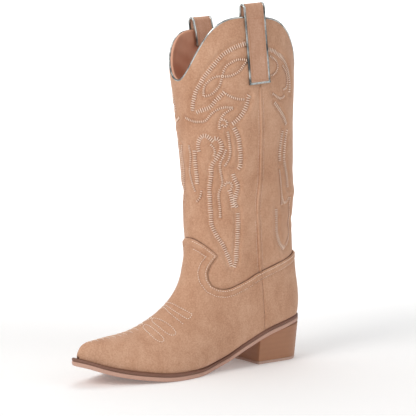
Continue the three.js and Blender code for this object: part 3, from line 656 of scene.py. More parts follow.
def makeMetal(name, base, rough=0.22):
    material, tree, shader, place = newMaterial(name, Metallic=1.0)
    scuff = noise(tree, place, 320.0, 5.0, 0.6)
    cloud = noise(tree, place, 75.0, 2.0)
    patch = node(tree, "ShaderNodeValToRGB", {"stops": [
        (0.4, tuple(0.22 * c for c in base[:3]) + (1.0,)), (0.6, base)]}, {0: cloud})
    feed(tree, shader, "Base Color", patch)
    feed(tree, shader, "Roughness", rough + (scuff - 0.5) * 0.18)
    bumped(tree, shader, scuff, 0.12, 0.0002)
    return material


def makeWoven(name, base, dark):
    material, tree, shader, place = newMaterial(name, Sheen_Weight=0.2)
    rib = node(tree, "ShaderNodeTexWave", {"wave_type": "BANDS", "bands_direction": "Z"},
               {"Vector": place, "Scale": 520.0}, "Fac")
    weft = node(tree, "ShaderNodeTexWave", {"wave_type": "BANDS", "bands_direction": "Y"},
                {"Vector": place, "Scale": 650.0}, "Fac")
    cloth = (rib * 0.6 + weft * 0.5).clamped()
    feed(tree, shader, "Base Color", blendColours(tree, cloth, dark, base))
    feed(tree, shader, "Roughness", 0.8 + rib * 0.1)
    bumped(tree, shader, cloth, 0.5, 0.0002)
    return material


def makeSpeckled(name, base, dark, scale, rough=0.85):
    material, tree, shader, place = newMaterial(name)
    speck = node(tree, "ShaderNodeTexVoronoi", {}, {"Vector": place, "Scale": scale}, "Distance")
    cloud = noise(tree, place, 90.0)
    feed(tree, shader, "Base Color",
         blendColours(tree, (speck * 0.8 + cloud * 0.4 - 0.1).clamped(), dark, base))
    feed(tree, shader, "Roughness", rough + (cloud - 0.5) * 0.1)
    bumped(tree, shader, speck, 0.4, 0.0003)
    return material


suede = makeSuede("tanSuede", colour(194, 148, 119), colour(170, 122, 93), colour(212, 170, 142))
strapSuede = makeSuede("strapSuede", colour(198, 152, 125), colour(180, 132, 104),
                       colour(213, 172, 148))
# Darker suede for the strips under the embroidery rows: painted shade for the shadow between the
# stitches.
shadeStripSuede = makeSuede("shadeStripSuede", colour(166, 120, 94), colour(150, 104, 78),
                         colour(176, 130, 104))
satinThread = makeThread("satinThread", colour(234, 202, 178), colour(253, 236, 221))
fineThread = makeThread("fineThread", colour(232, 198, 173), colour(250, 229, 211))
strapThread = makeThread("strapThread", colour(176, 120, 86), colour(202, 148, 112))
creamThread = makeThread("creamThread", colour(238, 212, 190), colour(254, 240, 226))
liningLeather = makeSmoothLeather("liningLeather", colour(238, 184, 154), colour(206, 146, 116),
                                  rough=0.42, grain=900.0, depth=0.0001)
weltLeather = makeSmoothLeather("weltLeather", colour(142, 102, 86), colour(114, 78, 62),
                                rough=0.55, grain=600.0, depth=0.00015)
soleLeather = makeSmoothLeather("soleLeather", colour(214, 174, 156), colour(190, 148, 130),
                                rough=0.6, grain=500.0, depth=0.0002)
heelLeather = makeSmoothLeather("heelLeather", colour(180, 130, 98), colour(160, 110, 80),
                                rough=0.45, grain=800.0, depth=0.0001, layers=60.0)
liftRubber = makeSpeckled("liftRubber", colour(206, 176, 162), colour(180, 146, 130), 900.0)
silver = makeMetal("silverTrim", (0.62, 0.64, 0.62, 1.0), 0.2)
zipMetal = makeMetal("zipMetal", (0.66, 0.62, 0.58, 1.0), 0.28)
steel = makeMetal("steelFixing", (0.5, 0.5, 0.5, 1.0), 0.4)
zipCloth = makeWoven("zipTape", colour(160, 128, 112), colour(118, 90, 78))
boardFibre = makeSpeckled("insoleBoard", colour(190, 164, 132), colour(150, 124, 96), 500.0)
corkFill = makeSpeckled("corkFill", colour(168, 124, 84), colour(108, 72, 44), 420.0)
stiffCloth = makeSpeckled("stiffening", colour(214, 204, 186), colour(180, 168, 148), 1200.0)
sockLeather = makeSmoothLeather("sockLeather", colour(186, 138, 116), colour(158, 110, 90),
                                rough=0.5, grain=900.0, depth=0.0001)
print("materials made")

# Embroidery on the front panel's outer half, in panel millimetres (q, z). The inner half is its
# mirror image.
# satin: rows of stitches laid across the line; beads: small stitches along it; sunk: a groove.
frontPattern = {
    "satin": [
        [(80, 335), (78, 334), (70, 331.5), (60, 327), (52, 322), (45, 315), (40, 309.5),
         (35.5, 304.5), (31, 299.5), (26.5, 293), (22, 287), (19, 280.5), (16.7, 274),
         (15, 266)],
        [(19, 264.5), (24.5, 266.7), (30, 268.3), (35.6, 271), (40, 276), (44, 279.4),
         (48, 283), (51, 285.6)],
        [(77, 282.5), (75.6, 280.6), (74, 276), (72, 271.7), (69.4, 267), (66.7, 263.3),
         (62.8, 259.4), (59, 256), (54.4, 253)],
        [(17.5, 225), (17, 231.5), (19, 237), (22, 240.6), (25, 241.6), (28, 240.8), (31, 238.4),
         (34, 235.5)],
        [(34.5, 238.6), (38, 238.6), (40.4, 235.6), (41.4, 231), (40, 226.5), (37, 221.5),
         (33.4, 217), (29.5, 212), (28, 208), (27.8, 204)],
        [(12.5, 227), (12, 215), (12.5, 203), (12, 192)],
        [(56, 250), (59, 242), (60, 235), (60, 222), (59.4, 216), (58.3, 210.6), (55.6, 207)],
        [(50, 203), (51, 198), (52.8, 194), (54, 189.5), (51.5, 182), (50, 174), (52.5, 168)],
        [(45, 187), (46.5, 180), (47.5, 174), (48.5, 168)],
        [(52.8, 163), (53.2, 149), (53.3, 142), (53.3, 130.6), (53.3, 119.4), (54, 114),
         (53, 106)],
        [(27.8, 204), (26.7, 198), (25, 191.7), (24.4, 186), (24.4, 169.4), (25, 160.6),
         (25.6, 151.7), (27.8, 146), (30.6, 140.6), (34.4, 135), (37.8, 130.6), (40.6, 125.5),
         (44.4, 118.3), (47.6, 112.5), (50.2, 107)],
    ],
    "beads": [
        [(50.2, 301), (51, 304.4), (52.8, 308), (55.6, 311.7), (60, 314.4), (64.4, 316.7),
         (71, 317.8), (77.8, 317.2)],
        [(50.2, 300.8), (56.7, 301), (62, 302.8), (67.8, 306), (71, 309.4), (74.4, 313.3),
         (77.8, 317)],
        [(29, 281), (29.4, 285), (30, 288.3), (31.7, 292.2), (35.6, 296), (40, 299),
         (44.4, 300.6), (50, 301)],
        [(29, 281), (33.3, 281.7), (37.8, 283.3), (42.2, 287.2), (45.6, 290.6), (48, 296),
         (50, 301)],
        [(51, 284), (58, 280), (64.4, 278.3), (71, 278)],
        [(5, 260), (10, 257.5), (15.6, 255.8), (22, 255.4), (27.8, 256.5), (31, 259.3),
         (34.5, 263), (39, 266.5), (44.5, 269), (50, 270), (57.5, 269.6)],
        [(57.5, 269.2), (53.5, 267.2), (49.5, 264.8), (46.2, 261.8), (44, 258.6), (42.2, 255.4),
         (41.4, 252), (41.4, 248)],
        [(30, 233), (33, 229.5), (33.8, 225), (32, 220.5)],
        [(44, 258), (48, 257), (49.5, 253.5), (46.5, 250.5), (44, 253)],
        [(45.6, 228), (42, 220.6), (38, 214), (37.5, 203), (37.8, 192), (34, 184), (33.3, 177),
         (34, 169), (34.4, 158)],
        [(49, 246), (49.6, 238), (49.6, 228), (48.5, 221), (45.5, 215), (41.5, 210.5)],
        [(40, 190), (43, 194), (48, 192), (46, 187)],
        [(6, 232), (7, 220), (5, 208), (6, 196), (9, 184)],
        [(16, 186), (14, 178), (10, 174)],
    ],
    "sunk": [
        [(22, 270), (30, 272), (35.6, 275), (40, 279.4), (44.4, 285), (49.4, 287), (55.6, 284),
         (62, 283), (69, 283), (77, 283.3)],
        [(69, 267), (64.4, 263), (58, 256.7), (51, 252.8)],
        [(42, 208), (52, 208.5)],
    ],
}

# Back panel, outer half: q goes on round from the front, z is the height.
backPattern = {
    "satin": [
        [(104, 328.5), (112, 327), (118, 324), (125, 321), (132, 314), (137, 305), (139, 295),
         (137, 285)],
        [(108, 275), (115, 268), (122, 260), (127, 252)],
        [(119, 246), (114, 232), (111, 222), (110, 214)],
        [(129, 247), (125, 238), (121, 228), (118, 214), (121, 200), (122, 186)],
        [(101, 165), (102, 150), (103, 140), (108, 128), (116, 122)],
    ],
    "beads": [
        [(106, 322), (112, 319), (117, 314), (114, 306), (106, 302)],
        [(125, 313), (130, 308), (133, 300), (131, 291), (124, 288)],
        [(106, 284), (112, 281), (118, 279), (126, 282)],
        [(108, 206), (109, 194), (110, 180), (112, 168)],
        [(110, 178), (117, 170), (124, 176)],
        [(127, 176), (127, 150), (126, 134), (116, 122)],
    ],
    "sunk": [],
}

# The strip sizes here are the half widths of the dark strips of painted shade under the satin and bead
# rows.
stitchSizes = {
    "satinPitch": 2.35, "satinLength": 5.2, "satinWidth": 1.25, "satinHeight": 1.5,
    "beadPitch": 2.15, "beadLength": 2.9, "beadWidth": 1.3, "beadHeight": 1.3,
    "satinBed": 2.15, "beadBed": 1.15, "groove": 1.15, "grooveWidth": 1.2, "grooveOffset": 3.1,
    "beadOffset": 2.0,
}


# Each half pattern and its mirror image across the middle of its panel.
def withMirror(pattern, behind):
    mirrored = {}
    for kind, lines in pattern.items():
        flipped = [[(float(wholeRound(z)) * behind - q, z) for q, z in line] for line in lines]
        mirrored[kind] = [smoothLine(line) for line in lines + flipped]
    return mirrored


frontLines = withMirror(frontPattern, False)
backLines = withMirror(backPattern, True)


# How far the embroidery pulls the leather in (grooves) or lets it swell between the rows.
def quiltHeight(lines):
    size = stitchSizes
    trees = {kind: nearestTree(np.vstack(lines[kind])) for kind in lines if lines[kind]}

    def bell(distance, width):
        return np.exp(-(distance / width) ** 2)

    def height(flat):
        away = {kind: distancesTo(tree, flat) for kind, tree in trees.items()}
        toBead, toSatin = away["beads"], away["satin"]
        toSunk = away.get("sunk", toBead + 99)
        sunk = size["groove"] * bell(toSunk, size["grooveWidth"])
        satinRow = 0.9 * bell(toSatin - size["grooveOffset"], 0.9) + 0.5 * bell(toSatin, 2.2)
        beadRow = 0.8 * bell(toBead - size["beadOffset"], 0.75) + 0.3 * bell(toBead, 1.2)
        near = np.minimum(np.minimum(toBead, toSatin), toSunk)
        swell = 0.8 * np.clip((near - 1.5) / 5, 0, 1) * bell(np.clip(near - 6, 0, 99), 9)
        return swell - np.maximum(np.maximum(satinRow, beadRow), sunk)
    return height


# Soft folds of worn suede: (q, z, width along q, width along z, tilt, height).
shaftFolds = [
    (0, 178, 30, 40.0, 0.0, 1.9),
    (20, 188, 26, 5.0, 0.25, -1.1), (48, 172, 22, 6.0, -0.15, -0.9), (12, 206, 18, 4.5, 0.2, 0.7),
    (-20, 184, 26, 5.5, -0.2, -1.2), (-46, 168, 24, 6.0, 0.1, -0.9), (66, 158, 18, 7.0, 0.3, 0.8),
    (110, 170, 24, 5.0, -0.3, -1.3), (132, 150, 26, 5.0, 0.2, -1.4), (150, 182, 26, 6.0, 0.1, 1.3),
    (-115, 168, 26, 5.5, 0.2, -1.2), (-140, 150, 24, 5.0, -0.2, -1.3), (170, 140, 30, 5.0, 0, -1.5),
    (168, 205, 26, 6.0, 0.0, -1.0), (120, 235, 20, 12.0, 0.6, -0.8), (-125, 225, 22, 11.0, -0.5, -0.8),
    (35, 245, 26, 16.0, 0.4, 0.5), (70, 212, 20, 14.0, 0.2, -0.5), (-35, 240, 26, 15.0, 0.3, 0.5),
    (172, 265, 16, 22.0, 0.2, -1.2), (-165, 260, 18, 20.0, 0.2, -0.8), (60, 345, 26, 9.0, 0.3, 0.5),
]


def foldHeight(flat):
    total = np.zeros(len(flat))
    for q, z, wide, tall, tilt, height in shaftFolds:
        dq, dz = flat[:, 0] - q, flat[:, 1] - z
        dz = dz - tilt * dq
        total += height * np.exp(-(dq / wide) ** 2 - (dz / tall) ** 2)
    return total


# Panels of the upper.

def sideLine(points, side, spacing=1.0):
    line = resampled(points, spacing)
    return fromSideView(line[:, 0], line[:, 1], side)


# The stretch of a side-view line between two heights.
def between(points, low, high):
    ends = np.interp((low, high), [z for _, z in points], [f for f, _ in points])
    inner = [p for p in points if low < p[1] < high]
    return [(float(ends[0]), low)] + inner + [(float(ends[1]), high)]


seamGap = 0.15
edgeTree3d = {}


def vampEdgePoints():
    rows = []
    for side in (1, -1):
        v, turn = sideLine([p for p in vampEdge if 0 < p[0] < 140], side, 0.8)
        rows.append(surfacePoint(v, turn))
    return np.vstack(rows)


edgeTree3d["vamp"] = nearestTree(vampEdgePoints())


# Where the panel's side edge stands on the inner side, with room for the zip's opening.
def innerEdge(direction):
    slot, head = zipLine["slot"], innerSeam[2]
    shifted = [(f + direction * (slot if z < head[1] + 1 else seamGap), z) for f, z in innerSeam]
    top = head[1] + 2
    shifted.insert(3, (head[0] + direction * slot, top))
    shifted.insert(4, (head[0] + direction * seamGap, top + 0.5))
    return shifted


# Where a side seam crosses the vamp's and counter's top edge, and that edge on each side of it.
def edgeCrossing(seam):
    line = resampled(vampEdge, 0.2)
    seamF = np.interp(line[:, 1], [z for _, z in seam], [f for f, _ in seam])
    at = np.argmin(np.abs(line[:, 0] - seamF) + 50 * (line[:, 0] > 95))
    return line[at], line[:at + 1], line[at:]


# A shaft panel's lower edge meets the vamp and the counter.
def shaftOutline(front):
    parts = []
    direction = 1 if front else -1
    seams = {1: [(f + direction * seamGap, z) for f, z in outerSeam], -1: innerEdge(direction)}
    for side in (1, -1):
        seam = seams[side]
        crossing, ahead, behind = edgeCrossing(seam)
        run = ahead if front else behind
        inside = (run[:, 0] > 2.2) & (run[:, 0] < 139)
        v, turn = fromSideView(run[inside, 0], run[inside, 1], side)
        low = np.stack(surfaceToPanel(v, turn), -1)
        top = bootForm["peak"][0 if side > 0 else 1] - 1.0
        v, turn = sideLine(between(seam, crossing[1], top), side)
        up = np.stack(surfaceToPanel(v, turn), -1)
        parts.append((low, up))
    (lowOut, upOut), (lowIn, upIn) = parts
    if not front:
        for row in (lowIn, upIn):
            row[:, 0] += wholeRound(row[:, 1])
    turnA = float(panelToSurface(upOut[-1, 0], upOut[-1, 1])[1])
    turnB = float(panelToSurface(upIn[-1, 0], upIn[-1, 1])[1])
    turns = np.linspace(turnA, turnB, 160)[1:-1]
    v = toplineV(turns)
    z = surfacePoint(v, turns)[:, 2] - 1.0
    wrapped = (turns + np.pi) % (2 * np.pi) - np.pi
    q = bilinear(shaftTable["length"], shaftTable["z"], shaftTable["turns"], z, wrapped)
    if not front:
        q = np.where(q < 0, q + wholeRound(z), q)
    top = np.stack([q, z], -1)
    # outer edge up, over the top, inner edge down, and back along the lower edge
    lower = [lowIn[::-1], lowOut] if front else [lowIn, lowOut[::-1]]
    return np.vstack([upOut, top, upIn[::-1]] + lower)


def shaftSurface(flat):
    return panelToSurface(flat[:, 0], flat[:, 1])


def seamPoints():
    rows = []
    for seam, side in ((outerSeam, 1), (innerSeam, -1)):
        v, turn = sideLine(between(seam, 88, 350), side)
        rows.append(surfacePoint(v, turn))
    return np.vstack(rows)


edgeTree3d["seam"] = nearestTree(seamPoints())


def shaftHeight(quilt):
    def height(flat, v, turn, base):
        toEdge = distancesTo(edgeTree3d["vamp"], base)
        toSeam = distancesTo(edgeTree3d["seam"], base)
        beside = 0.75 * np.exp(-((toSeam - 1.9) / 0.8) ** 2)
        tuck = -0.75 * np.exp(-(toEdge / 2.6) ** 2)
        return quilt(flat) + foldHeight(flat) * np.clip(toEdge / 14, 0, 1) + tuck - beside
    return height


print("shaft panels")
frontFine = np.vstack([l for kind in frontLines.values() for l in kind])
backFine = np.vstack([l for kind in backLines.values() for l in kind])
frontOutline = shaftOutline(True)
backOutline = shaftOutline(False)
frontQuilt, backQuilt = quiltHeight(frontLines), quiltHeight(backLines)
shaftFront = makePanel("shaftFront", frontOutline, shaftSurface, shaftHeight(frontQuilt),
                       frontFine)
finishPiece(shaftFront, "boot", "suede", suede, "shaft_front")
shaftBack = makePanel("shaftBack", backOutline, shaftSurface, shaftHeight(backQuilt),
                      backFine)
finishPiece(shaftBack, "boot", "suede", suede, "shaft_back")

# The foot panels, vamp and counter, are cut in a plane of (turn, way along the sections), both in
# rough millimetres.
footPlane = {"turnScale": 36.0, "lap": 1.15, "bandWidth": 7.6, "bandSwell": 0.9,
             "bandGroove": 0.95, "toeFill": 0.6}
sectionWay = np.concatenate([[0], np.cumsum(np.linalg.norm(np.diff(
    surfacePoint(vGrid, 0 * vGrid + 1.2), axis=0), axis=1))])


def footToPlane(v, turn):
    return np.stack([turn * footPlane["turnScale"], np.interp(v, vGrid, sectionWay)], -1)


def footSurface(flat):
    return np.interp(flat[:, 1], sectionWay, vGrid), flat[:, 0] / footPlane["turnScale"]


def featherTurn(v, side, rise=0.3):
    v = np.asarray(v, float)
    low, high = np.full(v.shape, 0.05), np.full(v.shape, math.pi)
    for _ in range(34):
        middle = (low + high) / 2
        p = surfacePoint(v, side * middle)
        above = p[..., 2] - feather(p[..., 0]) - rise > 0
        low, high = np.where(above, middle, low), np.where(above, high, middle)
    return side * (low + high) / 2


def backEndV(rise=0.3):
    low, high = 7.0, 9.0
    for _ in range(40):
        middle = (low + high) / 2
        p = surfacePoint(middle, math.pi)
        if p[2] - feather(p[0]) - rise > 0:
            high = middle
        else:
            low = middle
    return (low + high) / 2


# The v at which a seam line meets the feather line.
def seamFootV(seam, side):
    line = resampled(between(seam, 20, 60), 0.2)
    above = line[:, 1] - feather(line[:, 0]) - 0.3
    at = int(np.argmin(np.abs(above)))
    return float(fromSideView(line[at, 0], line[at, 1], side)[0][0]), float(line[at, 1])


def vampOutline():
    halves = []
    for side, seam in ((1, [(f + seamGap, z) for f, z in outerSeam]), (-1, innerEdge(1))):
        footV, footZ = seamFootV(seam, side)
        vs = footV * (1 - np.cos(np.linspace(0, math.pi, 120))) / 2
        featherRow = footToPlane(vs, featherTurn(vs, side))
        crossing, run, _ = edgeCrossing(seam)
        v, turn = sideLine(between(seam, footZ, crossing[1]), side)
        seamRow = footToPlane(v, turn)
        run = run[run[:, 0] < 139.2]
        v, turn = fromSideView(run[:, 0], run[:, 1], side)
        topRow = footToPlane(v, turn)[::-1]
        halves.append(np.vstack([featherRow, seamRow[1:], topRow[1:]]))
    return np.vstack([halves[0], halves[1][::-1]])


def counterOutline():
    halves = []
    endV = backEndV()
    for side, seam in ((1, [(f - seamGap, z) for f, z in outerSeam]), (-1, innerEdge(-1))):
        footV, footZ = seamFootV(seam, side)
        vs = np.linspace(endV - 0.002, footV, 60)
        featherRow = footToPlane(vs, featherTurn(vs, side))
        crossing, _, run = edgeCrossing(seam)
        v, turn = sideLine(between(seam, footZ, crossing[1]), side)
        seamRow = footToPlane(v, turn)
        run = run[run[:, 0] > 3.4]
        v, turn = fromSideView(run[:, 0], run[:, 1], side)
        topRow = footToPlane(v, turn)
        halves.append(np.vstack([featherRow, seamRow[1:], topRow[1:]]))
    outer, inner = halves
    inner[:, 0] += 2 * math.pi * footPlane["turnScale"]
    return np.vstack([outer, inner[::-1]])


# Toe embroidery on the vamp as (v, turn in degrees): three bars and two ovals on each side.
toePattern = {
    "bars": [
        [(5.24, 0), (5.28, 14), (5.33, 27), (5.46, 43)],
        [(5.06, 0), (5.02, 14), (5.03, 28), (5.14, 43)],
        [(4.94, 0), (4.82, 14), (4.79, 28), (4.84, 44)],
        [(5.46, 43), (5.30, 44), (5.14, 43)],
    ],
    "ovals": [
        [(4.12, 2), (4.22, 14), (4.32, 29), (4.36, 40), (4.30, 46), (4.12, 45), (3.96, 35),
         (3.92, 21), (3.96, 8), (4.12, 2)],
        [(3.66, 4), (3.68, 14), (3.70, 27), (3.73, 38), (3.70, 45), (3.56, 46), (3.42, 40),
         (3.38, 29), (3.40, 16), (3.50, 6), (3.66, 4)],
    ],
    "ridge": (3.15, 2.85, 2.55, 2.25, 1.95, 1.65, 1.35, 1.05, 0.75),
    "pitch": 2.35, "length": 1.6, "width": 1.15, "height": 1.0, "lift": 0.35,
    "alongScale": 20, "turnScale": 36, "spacing": 0.5,
}


def toeLines():
    size = toePattern
    alongScale, turnScale = size["alongScale"], size["turnScale"]
    flats = [[(v * alongScale, side * math.radians(t) * turnScale) for v, t in line]
             for line in size["bars"] + size["ovals"] for side in (1, -1)]
    # short arcs lie over the ridge, down to the tip
    for v in size["ridge"]:
        ahead = v * alongScale
        flats.append([(ahead - 2, -20), (ahead, -9), (ahead + 1, 0), (ahead + 1, 5)])
    flats = [smoothLine(flat, size["spacing"]) for flat in flats]
    return [(flat[:, 0] / alongScale, flat[:, 1] / turnScale) for flat in flats]


toeStitchLines = toeLines()
toeTree = nearestTree(np.vstack([surfacePoint(v, t) for v, t in toeStitchLines]))


def footHeight(flat, v, turn, base):
    size = footPlane
    toEdge = distancesTo(edgeTree3d["vamp"], base)
    toToe = distancesTo(toeTree, base)
    lap = size["lap"] * np.clip(1 - np.clip(toEdge - 9, 0, 99) / 16, 0, 1) ** 1.5
    band = size["bandSwell"] * np.sin(np.clip(toEdge / size["bandWidth"], 0, 1) * math.pi)
    groove = size["bandGroove"] * np.exp(-((toEdge - size["bandWidth"]) / 1.0) ** 2)
    sewn = 0.35 * np.exp(-(toToe / 1.2) ** 2)
    toe = size["toeFill"] * np.exp(-(v / 0.55) ** 2)
    return lap + band - groove - sewn + toe


# Seam rows: beside the vamp's and counter's top edge, and beside the side seams.
seamRows = {"edge": 1.6, "inner": 7.6, "pitch": 2.4, "length": 1.55, "width": 0.9, "height": 0.85}


# The top edge in side view, moved down by a distance; tight corners drop out.
def shiftedEdge(distance):
    edge = resampled([p for p in vampEdge if 0 < p[0] < 140], 0.5)
    along = np.gradient(edge, axis=0)
    down = unit(np.stack([-along[:, 1], along[:, 0]], -1))
    row = edge + down * distance
    return row[distancesTo(nearestTree(edge), row) > distance * 0.93]


# The stitch rows beside the top edge, on both sides of the boot, as (v, turn).
def edgeRows():
    rows = []
    for distance in (seamRows["edge"], seamRows["inner"]):
        for sign in (1, -1):
            row = shiftedEdge(distance)
            row = row[(row[:, 0] > 4) & (row[:, 0] < 137.5)]
            if sign < 0:
                # the rows stop at the zip
                zipF = np.interp(row[:, 1], [42, 152], [66, 79.8])
                row = row[np.abs(row[:, 0] - zipF) > 6]
            cuts = np.where(np.linalg.norm(np.diff(row, axis=0), axis=1) > 4)[0] + 1
            rows += [fromSideView(part[:, 0], part[:, 1], sign)
                     for part in np.split(row, cuts) if len(part) > 6]
    return rows


edgeRowLines = edgeRows()
print("vamp and counter")
toeFine = np.vstack([footToPlane(v, t) for v, t in toeStitchLines])
edgeFine = np.vstack([footToPlane(v, t) for v, t in edgeRowLines])
# the counter's plane runs on past the back line, so the inner rows are repeated there
backFineRows = edgeFine + np.array([2 * math.pi * footPlane["turnScale"], 0])
vamp = makePanel("vamp", vampOutline(), footSurface, footHeight, np.vstack([toeFine, edgeFine]),
                 toeTip=True)
finishPiece(vamp, "boot", "suede", suede, "vamp")
counter = makePanel("counter", counterOutline(), footSurface, footHeight,
                    np.vstack([edgeFine, backFineRows]))
finishPiece(counter, "boot", "suede", suede, "counter")

# One node tree lays a small rounded stitch on every marked place, turned along it.
def stitchTree():
    tree = bpy.data.node_groups.new("stitchRow", "GeometryNodeTree")
    face = tree.interface
    face.new_socket("Geometry", in_out="INPUT", socket_type="NodeSocketGeometry")
    for name, value in (("Stitch length", 2.0), ("Stitch width", 0.8), ("Stitch height", 0.6),
                        ("Unevenness", 0.12)):
        socket = face.new_socket(name, in_out="INPUT", socket_type="NodeSocketFloat")
        socket.default_value = value
    socket = face.new_socket("Seed", in_out="INPUT", socket_type="NodeSocketInt")
    socket.default_value = 4
    face.new_socket("Thread", in_out="INPUT", socket_type="NodeSocketMaterial")
    face.new_socket("Geometry", in_out="OUTPUT", socket_type="NodeSocketGeometry")
    add, link = tree.nodes.new, tree.links.new
    start, end = add("NodeGroupInput"), add("NodeGroupOutput")
    ball = add("GeometryNodeMeshUVSphere")
    ball.inputs["Segments"].default_value = 6
    ball.inputs["Rings"].default_value = 4
    ball.inputs["Radius"].default_value = 0.5 * millimetre
    size = add("ShaderNodeCombineXYZ")
    link(start.outputs["Stitch width"], size.inputs["X"])
    link(start.outputs["Stitch height"], size.inputs["Y"])
    link(start.outputs["Stitch length"], size.inputs["Z"])
    shape = add("GeometryNodeTransform")
    link(ball.outputs["Mesh"], shape.inputs["Geometry"])
    link(size.outputs["Vector"], shape.inputs["Scale"])
    smooth = add("GeometryNodeSetShadeSmooth")
    link(shape.outputs["Geometry"], smooth.inputs["Geometry"])
    directions = []
    for name in ("along", "out"):
        read = add("GeometryNodeInputNamedAttribute")
        read.data_type = "FLOAT_VECTOR"
        read.inputs["Name"].default_value = name
        directions.append(read)
    turn = add("FunctionNodeAxesToRotation")
    turn.primary_axis, turn.secondary_axis = "Z", "Y"
    link(directions[0].outputs["Attribute"], turn.inputs["Primary Axis"])
    link(directions[1].outputs["Attribute"], turn.inputs["Secondary Axis"])
    spread = add("FunctionNodeRandomValue")
    spread.data_type = "FLOAT"
    low, high = add("ShaderNodeMath"), add("ShaderNodeMath")
    low.operation, high.operation = "SUBTRACT", "ADD"
    low.inputs[0].default_value = high.inputs[0].default_value = 1.0
    link(start.outputs["Unevenness"], low.inputs[1])
    link(start.outputs["Unevenness"], high.inputs[1])
    link(low.outputs[0], spread.inputs[2])
    link(high.outputs[0], spread.inputs[3])
    link(start.outputs["Seed"], spread.inputs["Seed"])
    place = add("GeometryNodeInstanceOnPoints")
    link(start.outputs["Geometry"], place.inputs["Points"])
    link(smooth.outputs["Geometry"], place.inputs["Instance"])
    link(turn.outputs["Rotation"], place.inputs["Rotation"])
    link(spread.outputs[1], place.inputs["Scale"])
    real = add("GeometryNodeRealizeInstances")
    link(place.outputs["Instances"], real.inputs["Geometry"])
    dress = add("GeometryNodeSetMaterial")
    link(real.outputs["Geometry"], dress.inputs["Geometry"])
    link(start.outputs["Thread"], dress.inputs["Material"])
    link(dress.outputs["Geometry"], end.inputs["Geometry"])
    return tree


stitchRow = stitchTree()


def setInput(modifier, name, value):
    for item in modifier.node_group.interface.items_tree:
        if item.item_type == "SOCKET" and item.in_out == "INPUT" and item.name == name:
            modifier[item.identifier] = value


# Stitches on marked places given as world points with the ways along and out.
def makeStitches(name, points, along, out, length, width, height, thread, seed=4,
                 slot="suede", unevenness=0.12):
    mesh = bpy.data.meshes.new(name)
    mesh.from_pydata(points.tolist(), [], [])
    for key, values in (("along", along), ("out", out)):
        layer = mesh.attributes.new(key, "FLOAT_VECTOR", "POINT")
        layer.data.foreach_set("vector", np.asarray(values, np.float32).ravel())
    piece = bpy.data.objects.new(name, mesh)
    bpy.context.scene.collection.objects.link(piece)
    modifier = piece.modifiers.new("stitches", "NODES")
    modifier.node_group = stitchRow
    for key, value in (("Stitch length", length), ("Stitch width", width),
                       ("Stitch height", height), ("Unevenness", unevenness),
                       ("Seed", seed), ("Thread", thread)):
        setInput(modifier, key, value)
    applied(piece)
    print(name, len(piece.data.polygons), "faces")
    return finishPiece(piece, "boot", slot, thread)


def marksOnSurface(v, turn, pitch, lift, across=False):
    v, turn = np.asarray(v, float), np.asarray(turn, float)
    points = surfacePoint(v, turn)
    way = np.concatenate([[0], np.cumsum(np.linalg.norm(np.diff(points, axis=0), axis=1))])
    count = max(2, int(round(way[-1] / pitch)))
    at = (np.arange(count) + 0.5) * way[-1] / count
    v, turn = np.interp(at, way, v), np.interp(at, way, turn)
    ahead = np.stack([np.interp(at + 0.4, way, points[:, k]) for k in range(3)], -1)
    behind = np.stack([np.interp(at - 0.4, way, points[:, k]) for k in range(3)], -1)
    normal = surfaceNormal(v, turn)
    along = unit(ahead - behind)
    if across:
        along = unit(np.cross(normal, along))
    along = unit(along - normal * (along * normal).sum(-1, keepdims=True))
    rise = lift(v, turn) if callable(lift) else np.full(len(v), lift)
    place = surfacePoint(v, turn) + normal * rise[:, None]
    return toWorld(place), turnedToWorld(along), turnedToWorld(normal)


def joined(marks):
    return [np.vstack([m[k] for m in marks]) for k in range(3)]


def shaftLift(quilt, extra):
    def lift(v, turn):
        wrapped = (turn + np.pi) % (2 * np.pi) - np.pi
        q, z = surfaceToPanel(v, wrapped)
        if quilt is backQuilt:
            q = np.where(q < 0, q + wholeRound(z), q)
        flat = np.stack([q, z], -1)
        return quilt(flat) + foldHeight(flat) + extra
    return lift


# A dark strip of painted shade lies under each row, standing for the shadow between its stitches; its
# thread stands on it.
def makeShadeStrips(name, lines, quilt, half):
    pieces = []
    for line in lines:
        v, turn = panelToSurface(line[::2, 0], line[::2, 1])
        point, normal = surfacePoint(v, turn), surfaceNormal(v, turn)
        along = unit(np.gradient(point, axis=0))
        across = unit(np.cross(normal, along))
        rise = shaftLift(quilt, 0.0)(v, turn)[:, None]
        profile = [(-half, -0.5), (-half, 0.05), (-half * 0.5, 0.16), (half * 0.5, 0.16),
                   (half, 0.05), (half, -0.5)]
        rings = np.stack([point + across * w + normal * (rise + h) for w, h in profile], 1)
        pieces.append(ringPiece("rowBed", toWorld(rings)))
    return finishPiece(joinPieces(name, pieces), "boot", "suede", shadeStripSuede)


def makeEmbroidery(panelName, lines, quilt):
    size = stitchSizes
    for kind, rows, thread in (("satin", lines["satin"], satinThread),
                               ("bead", lines["beads"], fineThread)):
        marks = [marksOnSurface(*panelToSurface(row[:, 0], row[:, 1]), size[kind + "Pitch"],
                                shaftLift(quilt, 0.3), across=True) for row in rows]
        makeStitches(kind + "Stitches" + panelName, *joined(marks), size[kind + "Length"],
                     size[kind + "Width"], size[kind + "Height"], thread)
        # each row also gets its dark strip of painted shade
        makeShadeStrips(kind + "Bed" + panelName, rows, quilt, size[kind + "Bed"])


print("embroidery")
makeEmbroidery("Front", frontLines, frontQuilt)
makeEmbroidery("Back", backLines, backQuilt)


def footLift(extra):
    def lift(v, turn):
        base = surfacePoint(v, turn)
        return footHeight(None, v, turn, base) + extra
    return lift


toeMarks = [marksOnSurface(v, t, toePattern["pitch"], footLift(toePattern["lift"]))
            for v, t in toeStitchLines]
makeStitches("toeStitches", *joined(toeMarks), toePattern["length"], toePattern["width"],
             toePattern["height"], creamThread)
edgeMarks = [marksOnSurface(v, turn, seamRows["pitch"], footLift(0.3))
             for v, turn in edgeRowLines]
makeStitches("edgeStitches", *joined(edgeMarks), seamRows["length"], seamRows["width"],
             seamRows["height"], creamThread)

# Side welts, the raised strips in the side seams.

